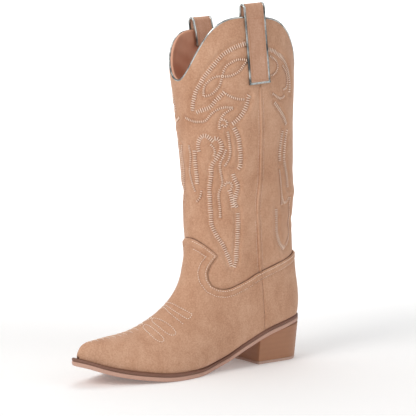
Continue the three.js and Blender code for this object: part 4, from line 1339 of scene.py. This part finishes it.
sideWelt = {"halfWidth": 1.3, "height": 1.05, "root": -1.0, "outer": (88, 291.2),
            "inner": (155, 280.7), "stitchAside": 3.3, "stitch": (1.1, 0.45, 0.32)}


def makeSideWelt(name, seam, side, span, nodeName):
    low, high = span
    if side > 0:
        low = edgeCrossing(seam)[0][1] + 0.6
    line = resampled(between(seam, low, high), 1.6)
    v, turn = fromSideView(line[:, 0], line[:, 1], side)
    points, normal = surfacePoint(v, turn), surfaceNormal(v, turn)
    along = unit(np.gradient(points, axis=0))
    across = unit(np.cross(normal, along))
    half, root = sideWelt["halfWidth"], sideWelt["root"]
    profile = [(half * math.cos(a), sideWelt["height"] * math.sin(a) ** 0.7 - 0.1)
               for a in np.linspace(0, math.pi, 9)] + [(-half, root), (half, root)]
    rings = np.stack([points + across * w + normal * h for w, h in profile], 1)
    piece = ringPiece(name, toWorld(rings))
    finishPiece(piece, "boot", "suede", suede, nodeName)
    marks = []
    for w in (-sideWelt["stitchAside"], sideWelt["stitchAside"]):
        row = points[:-1] + across[:-1] * w + normal[:-1] * 0.1
        marks.append((toWorld(row), turnedToWorld(along[:-1]), turnedToWorld(normal[:-1])))
    return marks


weltMarks = makeSideWelt("sideWeltOuter", outerSeam, 1, sideWelt["outer"], "side_welt_lateral")
weltMarks += makeSideWelt("sideWeltInner", innerSeam, -1, sideWelt["inner"], "side_welt_medial")
makeStitches("sideSeamStitches", *joined(weltMarks), *sideWelt["stitch"], fineThread)
print("side welts")

# Silver piping and lining.

topline = {"steps": 360, "radius": 1.0, "out": 0.5, "liningDepth": 4.1, "liningOuter": 3.1,
           "wrinkle": 1.1}


def toplineFrames(turns):
    v = toplineV(turns)
    point = surfacePoint(v, turns)
    along = unit(np.roll(point, -1, 0) - np.roll(point, 1, 0))
    out = surfaceNormal(v, turns)
    up = unit(np.cross(along, out))
    up = np.where(up[:, 2:3] < 0, -up, up)
    return v, point, out, up


def makePiping():
    turns = np.linspace(0, 2 * math.pi, topline["steps"], endpoint=False)
    _, point, out, up = toplineFrames(turns)
    r = topline["radius"]
    profile = [(topline["out"] - r + r * math.cos(a), -0.9 + r * math.sin(a))
               for a in np.linspace(0, 2 * math.pi, 12, endpoint=False)]
    rings = np.stack([point + out * w + up * h for w, h in profile], 1)
    piece = ringPiece("toplinePiping", toWorld(rings), closed=True)
    finishPiece(piece, "boot", "silver_trim", silver, "topline_piping")


makePiping()


shaftLining = {"levels": 90, "columns": 200, "foot": 104, "rise": 250, "turnTop": 352, "seamGap": 0.1,
               "zipTop": 153.5}


# The v at which each turn reaches a height.
def heightV(turns, z):
    low, high = np.full(len(turns), 5.2), np.full(len(turns), lastV)
    for _ in range(30):
        middle = (low + high) / 2
        under = surfacePoint(middle, turns)[:, 2] < z
        low, high = np.where(under, middle, low), np.where(under, high, middle)
    return (low + high) / 2


# The lining runs up inside the leather and turns over to meet the piping.
def makeShaftLining(name, front, nodeName):
    size = shaftLining
    slot, gap = zipLine["slot"], size["seamGap"]
    direction = 1 if front else -1
    innerLine = innerSeam[:3] + [(79.8, size["zipTop"])] + innerSeam[3:]
    seams = {1: [(f + direction * gap, z) for f, z in outerSeam],
             -1: [(f + direction * (slot if z < 153 else gap), z) for f, z in innerLine]}
    ends = {}
    for side in (1, -1):
        zs = np.linspace(size["foot"], bootForm["peak"][0], 300)
        f = np.interp(zs, [z for _, z in seams[side]], [f for f, _ in seams[side]])
        _, turn = fromSideView(f, zs, side)
        ends[side] = (zs, turn if front or side > 0 else turn + 2 * math.pi)
    across = np.linspace(0, 1, size["columns"])
    rows = []
    # each row runs at one share of the way from the foot to the topline
    for i in range(size["levels"] + 1):
        t = i / size["levels"]
        z = min(size["foot"] + t * size["rise"], size["turnTop"])
        outerTurn, innerTurn = (float(np.interp(z, *ends[side])) for side in (1, -1))
        turns = outerTurn + (innerTurn - outerTurn) * across
        foot = heightV(turns, size["foot"])
        rows.append((foot + (toplineV(turns) - foot) * t, turns))
    v, turns = (np.array(column) for column in zip(*rows))
    base, normal = surfacePoint(v, turns), surfaceNormal(v, turns)
    z = base[..., 2]
    crumple = topline["wrinkle"] * (np.sin(z * 0.33 + 3 * np.sin(turns * 3)) * 0.5
                                    + np.sin(z * 0.15 + turns * 9) * 0.5)
    # the crinkles die out at the foot and just under the topline
    share = np.linspace(0, 1, size["levels"] + 1)
    crumple *= np.clip((z - 120) / 40, 0, 1) * np.clip((1 - share) * 14, 0, 1)[:, None]
    inner = base - normal * (topline["liningDepth"] + crumple)[..., None]
    outer = base - normal * (topline["liningOuter"] + np.minimum(crumple, 0.3) * 0.5)[..., None]
    _, point, out, up = toplineFrames(turns[-1])
    lip = [(-3.9, -0.9), (-3.2, -0.45), (-2.2, -0.3), (-1.2, -0.55), (-1.2, -1.6), (-2.4, -2.2)]
    lipRows = np.stack([point + out * w + up * h for w, h in lip], 0)
    loop = np.vstack([inner[:-1], lipRows, outer[::-1][1:]])
    piece = ringPiece(name, toWorld(np.transpose(loop, (1, 0, 2))))
    finishPiece(piece, "boot", "lining_skin", liningLeather, nodeName)


makeShaftLining("shaftLiningFront", True, "shaft_lining_front")
makeShaftLining("shaftLiningBack", False, "shaft_lining_back")
print("piping and lining")

# Sole unit.

soleSizes = {
    "waist": 1.6, "ball": 3.4, "toe": 5.9, "weltThickness": 3.0, "gap": 0.3,
    "forepart": 4.3, "heelSeat": 4.2, "thinFrom": 90, "thinTo": 58, "stations": 150,
}


def soleReach(f):
    size = soleSizes
    ball = size["waist"] + (size["ball"] - size["waist"]) * np.clip((f - 110) / 90, 0, 1)
    return ball + (size["toe"] - ball) * np.clip((f - 200) / 70, 0, 1)


def soleThickness(f):
    size = soleSizes
    part = np.clip((f - size["thinTo"]) / (size["thinFrom"] - size["thinTo"]), 0, 1)
    return size["heelSeat"] + (size["forepart"] - size["heelSeat"]) * part


def soleLoop():
    end = backEndV(0.0)
    half = soleSizes["stations"]
    vs = end * (1 - np.cos(np.linspace(0, math.pi, half))) / 2
    sides = []
    for side in (1, -1):
        sides.append(surfacePoint(vs[:-1], featherTurn(vs[:-1], side, 0.0)))
    back = surfacePoint(end, math.pi)
    loop = np.vstack([sides[0], [[back[0], 0, back[2]]], sides[1][::-1]])[:, :2]
    # even spacing, then a light smoothing of the toe's tight corner
    loop = resampled(loop, 2.2, closed=True)
    for _ in range(2):
        loop = (np.roll(loop, 1, 0) + 2 * loop + np.roll(loop, -1, 0)) / 4
    return loop


plan = soleLoop()
planAlong = np.roll(plan, -1, 0) - np.roll(plan, 1, 0)
planOut = unit(np.stack([planAlong[:, 1], -planAlong[:, 0]], -1))
if ((plan - plan.mean(0)) * planOut).sum() < 0:
    planOut = -planOut


def planRow(w):
    return plan + planOut * np.asarray(w).reshape(-1, 1)


def soleRing(rows):
    return np.stack([np.concatenate([xy, z[:, None]], 1) for xy, z in rows], 1)


def makeWelt():
    reach = soleReach(plan[:, 0])
    half = np.abs(plan[:, 1])
    inset = np.minimum(5.0, 0.5 * half)
    rows = []
    t = soleSizes["weltThickness"]
    for w, h in ((-inset, 0.9), (-0.3, 0.6), (reach * 0.3, -0.02), (reach - 0.9, -0.1),
                 (reach - 0.3, -0.4), (reach, -1.0), (reach, -t + 0.8), (reach - 0.35, -t + 0.1),
                 (reach - 0.9, -t), (-inset, -t)):
        xy = planRow(w)
        rows.append((xy, feather(xy[:, 0]) + h))
    piece = ringPiece("welt", toWorld(soleRing(rows)), closed=True)
    finishPiece(piece, "boot", "welt", weltLeather, "welt")


# Each ring runs from the middle of the top, round the edge and back under: an offset from the
# plan and a depth below the sole's top, given as a fixed part and a share of the thickness.
def makeOutsole():
    size = soleSizes
    reach = soleReach(plan[:, 0])
    top = -size["weltThickness"] - size["gap"] * 0.5

    def level(xy, fixed, share):
        z = feather(xy[:, 0]) + (top - fixed - share * soleThickness(xy[:, 0]))
        return xy, np.maximum(z, 0) if share else z

    def middle(width, share):
        return level(plan * np.array([1.0, width]), 0.0, share)

    rows = [middle(0.02, 0.0), middle(0.5, 0.0)]
    for inset, fixed, share in ((1.2, 0.0, 0.0), (0.45, 0.05, 0.0), (0.1, 0.5, 0.0),
                                (-0.05, 0.0, 0.45), (0.25, 0.0, 0.8), (0.8, 0.0, 0.96),
                                (1.6, 0.0, 1.0)):
        xy, z = level(planRow(reach - inset), fixed, share)
        rows.append((xy, np.maximum(z, 0.0)))
    rows += [middle(width, 1.0) for width in (0.8, 0.5, 0.25, 0.02)]
    piece = ringPiece("outsole", toWorld(soleRing(rows)), closed=True)
    finishPiece(piece, "boot", "outsole", soleLeather, "outsole")


makeWelt()
makeOutsole()

heelSizes = {"breast": 66, "round": 30, "roundness": 2.3, "height": 45, "liftHeight": 3.0,
             "footBack": 4.7, "footHalf": 26, "seatBack": 1, "seatHalf": 30.5, "corner": 1.1,
             "centre": 36, "layer": 0.07}


def heelOutline(z, steps=52):
    size = heelSizes
    t = np.clip(z / size["height"], 0, 1.4)
    back = size["footBack"] + (size["seatBack"] - size["footBack"]) * t
    half = size["footHalf"] + (size["seatHalf"] - size["footHalf"]) * t
    turn = np.linspace(-math.pi / 2, math.pi / 2, steps)
    f = size["round"] - (size["round"] - back) * bent(np.cos(turn), size["roundness"])
    s = half * bent(np.sin(turn), size["roundness"])
    c = size["corner"]
    breast = size["breast"]
    arc = [(breast - c + c * math.sin(a), half - c + c * math.cos(a))
           for a in np.linspace(0, math.pi / 2, 5)]
    straight = [(breast - 0.9 * math.cos(k * math.pi / 2) ** 2, half * 0.9 * k)
                for k in np.linspace(0.95, -0.95, 15)]
    return np.array(list(zip(f, s)) + arc + straight + [(a, -b) for a, b in reversed(arc)])


def heelTop(ring):
    f = ring[:, 0]
    return feather(f) - soleSizes["weltThickness"] - soleSizes["gap"] - soleThickness(f) - 0.1


def makeHeel():
    size = heelSizes
    centre = np.array([size["centre"], 0.0])
    foot = size["liftHeight"] + 0.25
    top = heelTop(heelOutline(size["liftHeight"]))
    rings = []
    for i, share in enumerate([0, 0.0, 0.012] + list(np.linspace(0.04, 0.97, 26)) + [1.0]):
        z = foot + (top - foot) * share
        ring = np.array([heelOutline(float(zk))[k] for k, zk in enumerate(z)])
        top = heelTop(ring)
        z = foot + (top - foot) * share
        inset = 0.5 if i == 0 else 0.0
        layer = size["layer"] * math.cos(share * 60)
        ring = ring - unit(ring - centre) * (inset + layer)
        rings.append(np.concatenate([ring, z[:, None]], 1))
    piece = ringPiece("heelBlock", toWorld(np.array(rings)))
    finishPiece(piece, "boot", "heel_stack", heelLeather, "heel_block")
    rings = []
    for z, inset in ((0.0, 0.5), (0.35, 0.05), (1.5, -0.15), (2.6, -0.1), (3.0, 0.15)):
        ring = heelOutline(z)
        ring = ring - unit(ring - centre) * inset
        rings.append(np.concatenate([ring, np.full((len(ring), 1), z)], 1))
    piece = ringPiece("heelLift", toWorld(np.array(rings)))
    finishPiece(piece, "boot", "top_lift", liftRubber, "heel_lift")


makeHeel()
print("sole unit")

# Pull straps.

strapSizes = {"footF": (86.5, 77.5), "headF": (94.5, 84.5), "length": 65, "halfWidth": 12.7,
              "edge": 2.0, "thickness": 1.6, "outside": 0.6, "inside": -7.2, "arch": 79,
              "innerLeg": 32, "loop": 3.8, "topline": 65, "stitchPitch": 1.9,
              "stitch": (1.35, 0.7, 0.5)}


def strapPlace(side):
    size = strapSizes
    which = 0 if side > 0 else 1
    footZ = bootForm["peak"][which] - size["length"]

    def on(f, z):
        v, turn = fromSideView([f], [z], side)
        return surfacePoint(v, turn)[0], surfaceNormal(v, turn)[0]

    foot, footOut = on(size["footF"][which], footZ)
    head, headOut = on(size["headF"][which], footZ + size["length"])
    up = unit(head - foot)
    out = footOut + headOut
    out = unit(out - up * (out @ up))
    across = np.cross(out, up)
    return foot, across, out, up


# The strap's middle line as (out, up, way out of the band) from its foot over the loop and down.
def strapPath(step=1.4):
    size = strapSizes
    outside = size["outside"] + size["thickness"] / 2
    inside = size["inside"] - size["thickness"] / 2
    radius = size["loop"]
    middle = outside - radius
    centre = size["arch"] - radius - size["thickness"] / 2
    rows = [(outside, 0.0)] + [(outside, u) for u in np.arange(step, centre, step)]
    rows += [(middle + radius * math.cos(a), centre + radius * math.sin(a))
             for a in np.linspace(0, math.pi, 15)]
    low = size["arch"] - size["innerLeg"]
    for u in np.arange(centre - step, low, -step):
        part = np.clip((u - size["topline"] + 3) / (centre - size["topline"] + 3), 0, 1)
        rows.append((inside + (outside - 2 * radius - inside) * part, u))
    path = resampled(np.array(rows), step)
    along = unit(np.gradient(path, axis=0))
    outward = np.stack([along[:, 1], -along[:, 0]], -1)
    return path, along, outward


def sweptBand(name, place, path, outward, profile):
    origin, across, out, up = place
    rings = []
    for s, h in profile:
        shifted = path + outward * h
        rings.append(origin + across * s + out * shifted[:, :1] + up * shifted[:, 1:])
    return ringPiece(name, toWorld(np.stack(rings, 1)))


def roundedBar(low, high, bottom, top, corner, steps=4):
    points = []
    for cs, ch, first in ((high - corner, top - corner, 0.0),
                          (low + corner, top - corner, math.pi / 2),
                          (low + corner, bottom + corner, math.pi),
                          (high - corner, bottom + corner, 1.5 * math.pi)):
        for a in np.linspace(first, first + math.pi / 2, steps):
            points.append((cs + corner * math.cos(a), ch + corner * math.sin(a)))
    return points


def makeStrap(side, label, nodeLabel):
    size = strapSizes
    place = strapPlace(side)
    path, along, outward = strapPath()
    half = size["halfWidth"] - size["edge"]
    t = size["thickness"] / 2
    top = [(half * math.cos(a), t - 0.25 + 0.3 * math.sin(a) ** 0.5)
           for a in np.linspace(0.02, math.pi - 0.02, 15)]
    profile = top + [(-half + 0.1, -t), (half - 0.1, -t)]
    band = sweptBand("pullStrap" + label, place, path, outward, profile)
    finishPiece(band, "boot", "suede", strapSuede, "pull_strap_" + nodeLabel)
    rows = []
    for s0, s1 in ((half - 0.25, size["halfWidth"]), (-size["halfWidth"], -half + 0.25)):
        profile = roundedBar(s0, s1, -t - 0.15, t + 0.35, 0.85)
        rows.append(sweptBand("strapEdge", place, path, outward, profile))
    origin, across, out, up = place
    bar = roundedBar(-size["edge"] - 0.1, 0.35, size["outside"] - 0.1,
                     size["outside"] + 2 * t + 0.35, 0.85)
    ends = np.linspace(-size["halfWidth"] + 0.1, size["halfWidth"] - 0.1, 24)
    rings = np.array([[origin + across * s + up * u + out * w for u, w in bar] for s in ends])
    rows.append(ringPiece("strapEdge", toWorld(rings)))
    edging = joinPieces("strapEdging" + label, rows)
    finishPiece(edging, "boot", "silver_trim", silver, "strap_edging_" + nodeLabel)
    marks = []
    way = resampled(np.concatenate([path, along], 1), size["stitchPitch"])
    outer = np.stack([way[:, 3], -way[:, 2]], -1)
    for s in (-half + 2.3, half - 2.3):
        spot = way[1:-1, :2] + outer[1:-1] * (t + 0.12)
        points = origin + across * s + out * spot[:, :1] + up * spot[:, 1:]
        direction = out * way[1:-1, 2:3] + up * way[1:-1, 3:4]
        normal = out * outer[1:-1, :1] + up * outer[1:-1, 1:]
        marks.append((toWorld(points), turnedToWorld(unit(direction)), turnedToWorld(unit(normal))))
    for u in (2.2, size["length"] - 1.2):
        s = np.arange(-half + 2.6, half - 2.2, size["stitchPitch"])
        points = origin + across * s[:, None] + out * (size["outside"] + 2 * t + 0.12) + up * u
        marks.append((toWorld(points), turnedToWorld(np.tile(across, (len(s), 1))),
                      turnedToWorld(np.tile(out, (len(s), 1)))))
    makeStitches("strapStitches" + label, *joined(marks), *size["stitch"], strapThread)


makeStrap(1, "Outer", "lateral")
makeStrap(-1, "Inner", "medial")
print("pull straps")

# Zip.

zipSizes = {"toothPitch": 1.55, "toothFrom": 7.6, "toothTo": 108.2, "toothIn": 0.72,
            "toothOut": 1.95, "toothLow": -2.3, "toothHigh": -0.75}
zipFoot, zipHead = np.array(zipLine["foot"], float), np.array(zipLine["head"], float)
zipUp = unit(zipHead - zipFoot)
zipOut = np.array([0.0, -1.0, 0.0])
zipOut = unit(zipOut - zipUp * (zipOut @ zipUp))
zipAcross = np.cross(zipOut, zipUp)


def inZip(u, v, w):
    return zipFoot + zipUp * u + zipAcross * v + zipOut * w


def makeTeeth(label, sign, nodeName):
    size = zipSizes
    us = np.arange(size["toothFrom"], size["toothTo"], size["toothPitch"])
    if sign < 0:
        us = us[:-1] + size["toothPitch"] / 2
    middle = (size["toothIn"] + size["toothOut"]) / 2
    points = np.array([inZip(u, sign * middle, (size["toothLow"] + size["toothHigh"]) / 2)
                       for u in us])
    along = np.tile(turnedToWorld(zipAcross), (len(us), 1))
    out = np.tile(turnedToWorld(zipUp), (len(us), 1))
    piece = makeStitches("zipTeeth" + label, toWorld(points), along, out,
                         size["toothOut"] - size["toothIn"] + 0.15,
                         size["toothHigh"] - size["toothLow"], 1.1, zipTooth, 2,
                         slot="zip_teeth", unevenness=0.0)
    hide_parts(nodeName)


zipTooth = makeSpeckled("zipTooth", colour(178, 142, 124), colour(150, 112, 96), 1400.0, 0.4)
makeTeeth("Front", 1, "zip_teeth_front")
makeTeeth("Rear", -1, "zip_teeth_rear")


# Small cast parts keep the frame's shape, with softened edges.
def softenedCopy(name, nodeName, width, body, slot, material):
    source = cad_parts[nodeName]
    piece = bpy.data.objects.new(name, source.data.copy())
    bpy.context.scene.collection.objects.link(piece)
    work = bmesh.new()
    work.from_mesh(piece.data)
    bmesh.ops.remove_doubles(work, verts=work.verts, dist=1e-6)
    bmesh.ops.dissolve_limit(work, angle_limit=math.radians(1), verts=work.verts,
                             edges=work.edges)
    work.to_mesh(piece.data)
    work.free()
    bevel = piece.modifiers.new("soften", "BEVEL")
    bevel.width = width * millimetre
    bevel.segments = 3
    bevel.limit_method = "ANGLE"
    bevel.angle_limit = math.radians(32)
    applied(piece)
    piece.data.polygons.foreach_set("use_smooth", [True] * len(piece.data.polygons))
    piece.data.set_sharp_from_angle(angle=math.radians(40))
    return finishPiece(piece, body, slot, material, nodeName)


softenedCopy("zipSlider", "zip_slider", 0.22, "slider", "steel", zipMetal)
softenedCopy("zipPuller", "zip_puller", 0.3, "puller", "steel", zipMetal)
print("zip")

# Pieces kept from the frame get their own finishes.

keptFinishes = {
    "vamp_lining": liningLeather, "counter_lining": liningLeather, "toe_puff": stiffCloth,
    "heel_stiffener": stiffCloth, "insole_board": boardFibre, "sock_liner": sockLeather,
    "shank": steel, "bottom_filler": corkFill, "heel_nail_1": steel, "heel_nail_2": steel,
    "heel_nail_3": steel, "heel_nail_4": steel, "heel_screw": steel, "zip_tape_front": zipCloth,
    "zip_tape_rear": zipCloth, "zip_top_stop_front": zipMetal, "zip_top_stop_rear": zipMetal,
    "zip_bottom_stop": zipMetal, "zip_guard": liningLeather,
}
for nodeName, finish in keptFinishes.items():
    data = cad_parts[nodeName].data
    data.materials.clear()
    data.materials.append(finish)

# Floor, lights and camera.

stageSizes = {"floor": 6.0, "cameraAt": (1.0693, -0.7799, 0.2764), "yaw": 36.96, "pitch": 4.72,
              "lens": 112.2}


def makeFloor():
    size = stageSizes["floor"]
    points, faces = [], []
    n = 24
    # the floor curves up far behind the boot into a plain backdrop
    for i in range(n + 1):
        t = i / n
        reach = -size / 2 + size * t
        lift = 0.0
        if reach > size * 0.25:
            lift = (reach - size * 0.25) ** 2 * 0.8
        for k in (-1, 1):
            forward = Vector((-math.cos(math.radians(stageSizes["yaw"])),
                              math.sin(math.radians(stageSizes["yaw"])), 0))
            sideways = Vector((forward.y, -forward.x, 0))
            points.append(forward * reach + sideways * k * size / 2 + Vector((0, 0, lift)))
    for i in range(n):
        faces.append((2 * i, 2 * i + 1, 2 * i + 3, 2 * i + 2))
    floor = makeObject("floor", [tuple(p) for p in points], faces)
    material, tree, shader, place = newMaterial("floorPaper", Specular_IOR_Level=0.1,
                                                Emission_Color=(1, 1, 1, 1),
                                                Emission_Strength=0.12)
    feed(tree, shader, "Base Color", blendColours(
        tree, noise(tree, place, 3.0), (0.90, 0.90, 0.90, 1), (0.93, 0.93, 0.93, 1)))
    feed(tree, shader, "Roughness", 0.9 + noise(tree, place, 40.0) * 0.05)
    floor.data.materials.append(material)


makeFloor()


def makeLight(name, location, target, size, power, tone=(1, 1, 1)):
    data = bpy.data.lights.new(name, "AREA")
    data.shape = "DISK"
    data.size = size
    data.energy = power
    data.color = tone
    light = bpy.data.objects.new(name, data)
    bpy.context.scene.collection.objects.link(light)
    light.location = location
    light.rotation_euler = (Vector(target) - Vector(location)).to_track_quat("-Z", "Y").to_euler()


makeLight("keyLight", (0.35, -1.9, 1.5), (0, 0, 0.18), 1.1, 24, (1.0, 0.985, 0.965))
makeLight("fillLight", (1.9, 0.7, 1.1), (0, 0, 0.18), 1.6, 7, (0.97, 0.98, 1.0))
makeLight("topLight", (-0.4, 0.2, 2.2), (0, 0, 0.1), 1.6, 12)
makeLight("backdropLight", (-0.9, 0.7, 1.6), (-2.2, 1.7, 0.6), 1.6, 26)
world = bpy.data.worlds.new("studio")
world.use_nodes = True
world.node_tree.nodes["Background"].inputs["Color"].default_value = (1.0, 1.0, 1.0, 1.0)
world.node_tree.nodes["Background"].inputs["Strength"].default_value = 0.42
bpy.context.scene.world = world

cameraData = bpy.data.cameras.new("camera")
cameraData.lens = stageSizes["lens"]
cameraData.sensor_width = 36
camera = bpy.data.objects.new("camera", cameraData)
bpy.context.scene.collection.objects.link(camera)
camera.location = stageSizes["cameraAt"]
yaw, pitch = math.radians(stageSizes["yaw"]), math.radians(stageSizes["pitch"])
look = Vector((-math.cos(yaw) * math.cos(pitch), math.sin(yaw) * math.cos(pitch),
               -math.sin(pitch)))
camera.rotation_euler = look.to_track_quat("-Z", "Y").to_euler()
bpy.context.scene.camera = camera
bpy.context.scene.view_settings.view_transform = "Standard"
print("stage set")
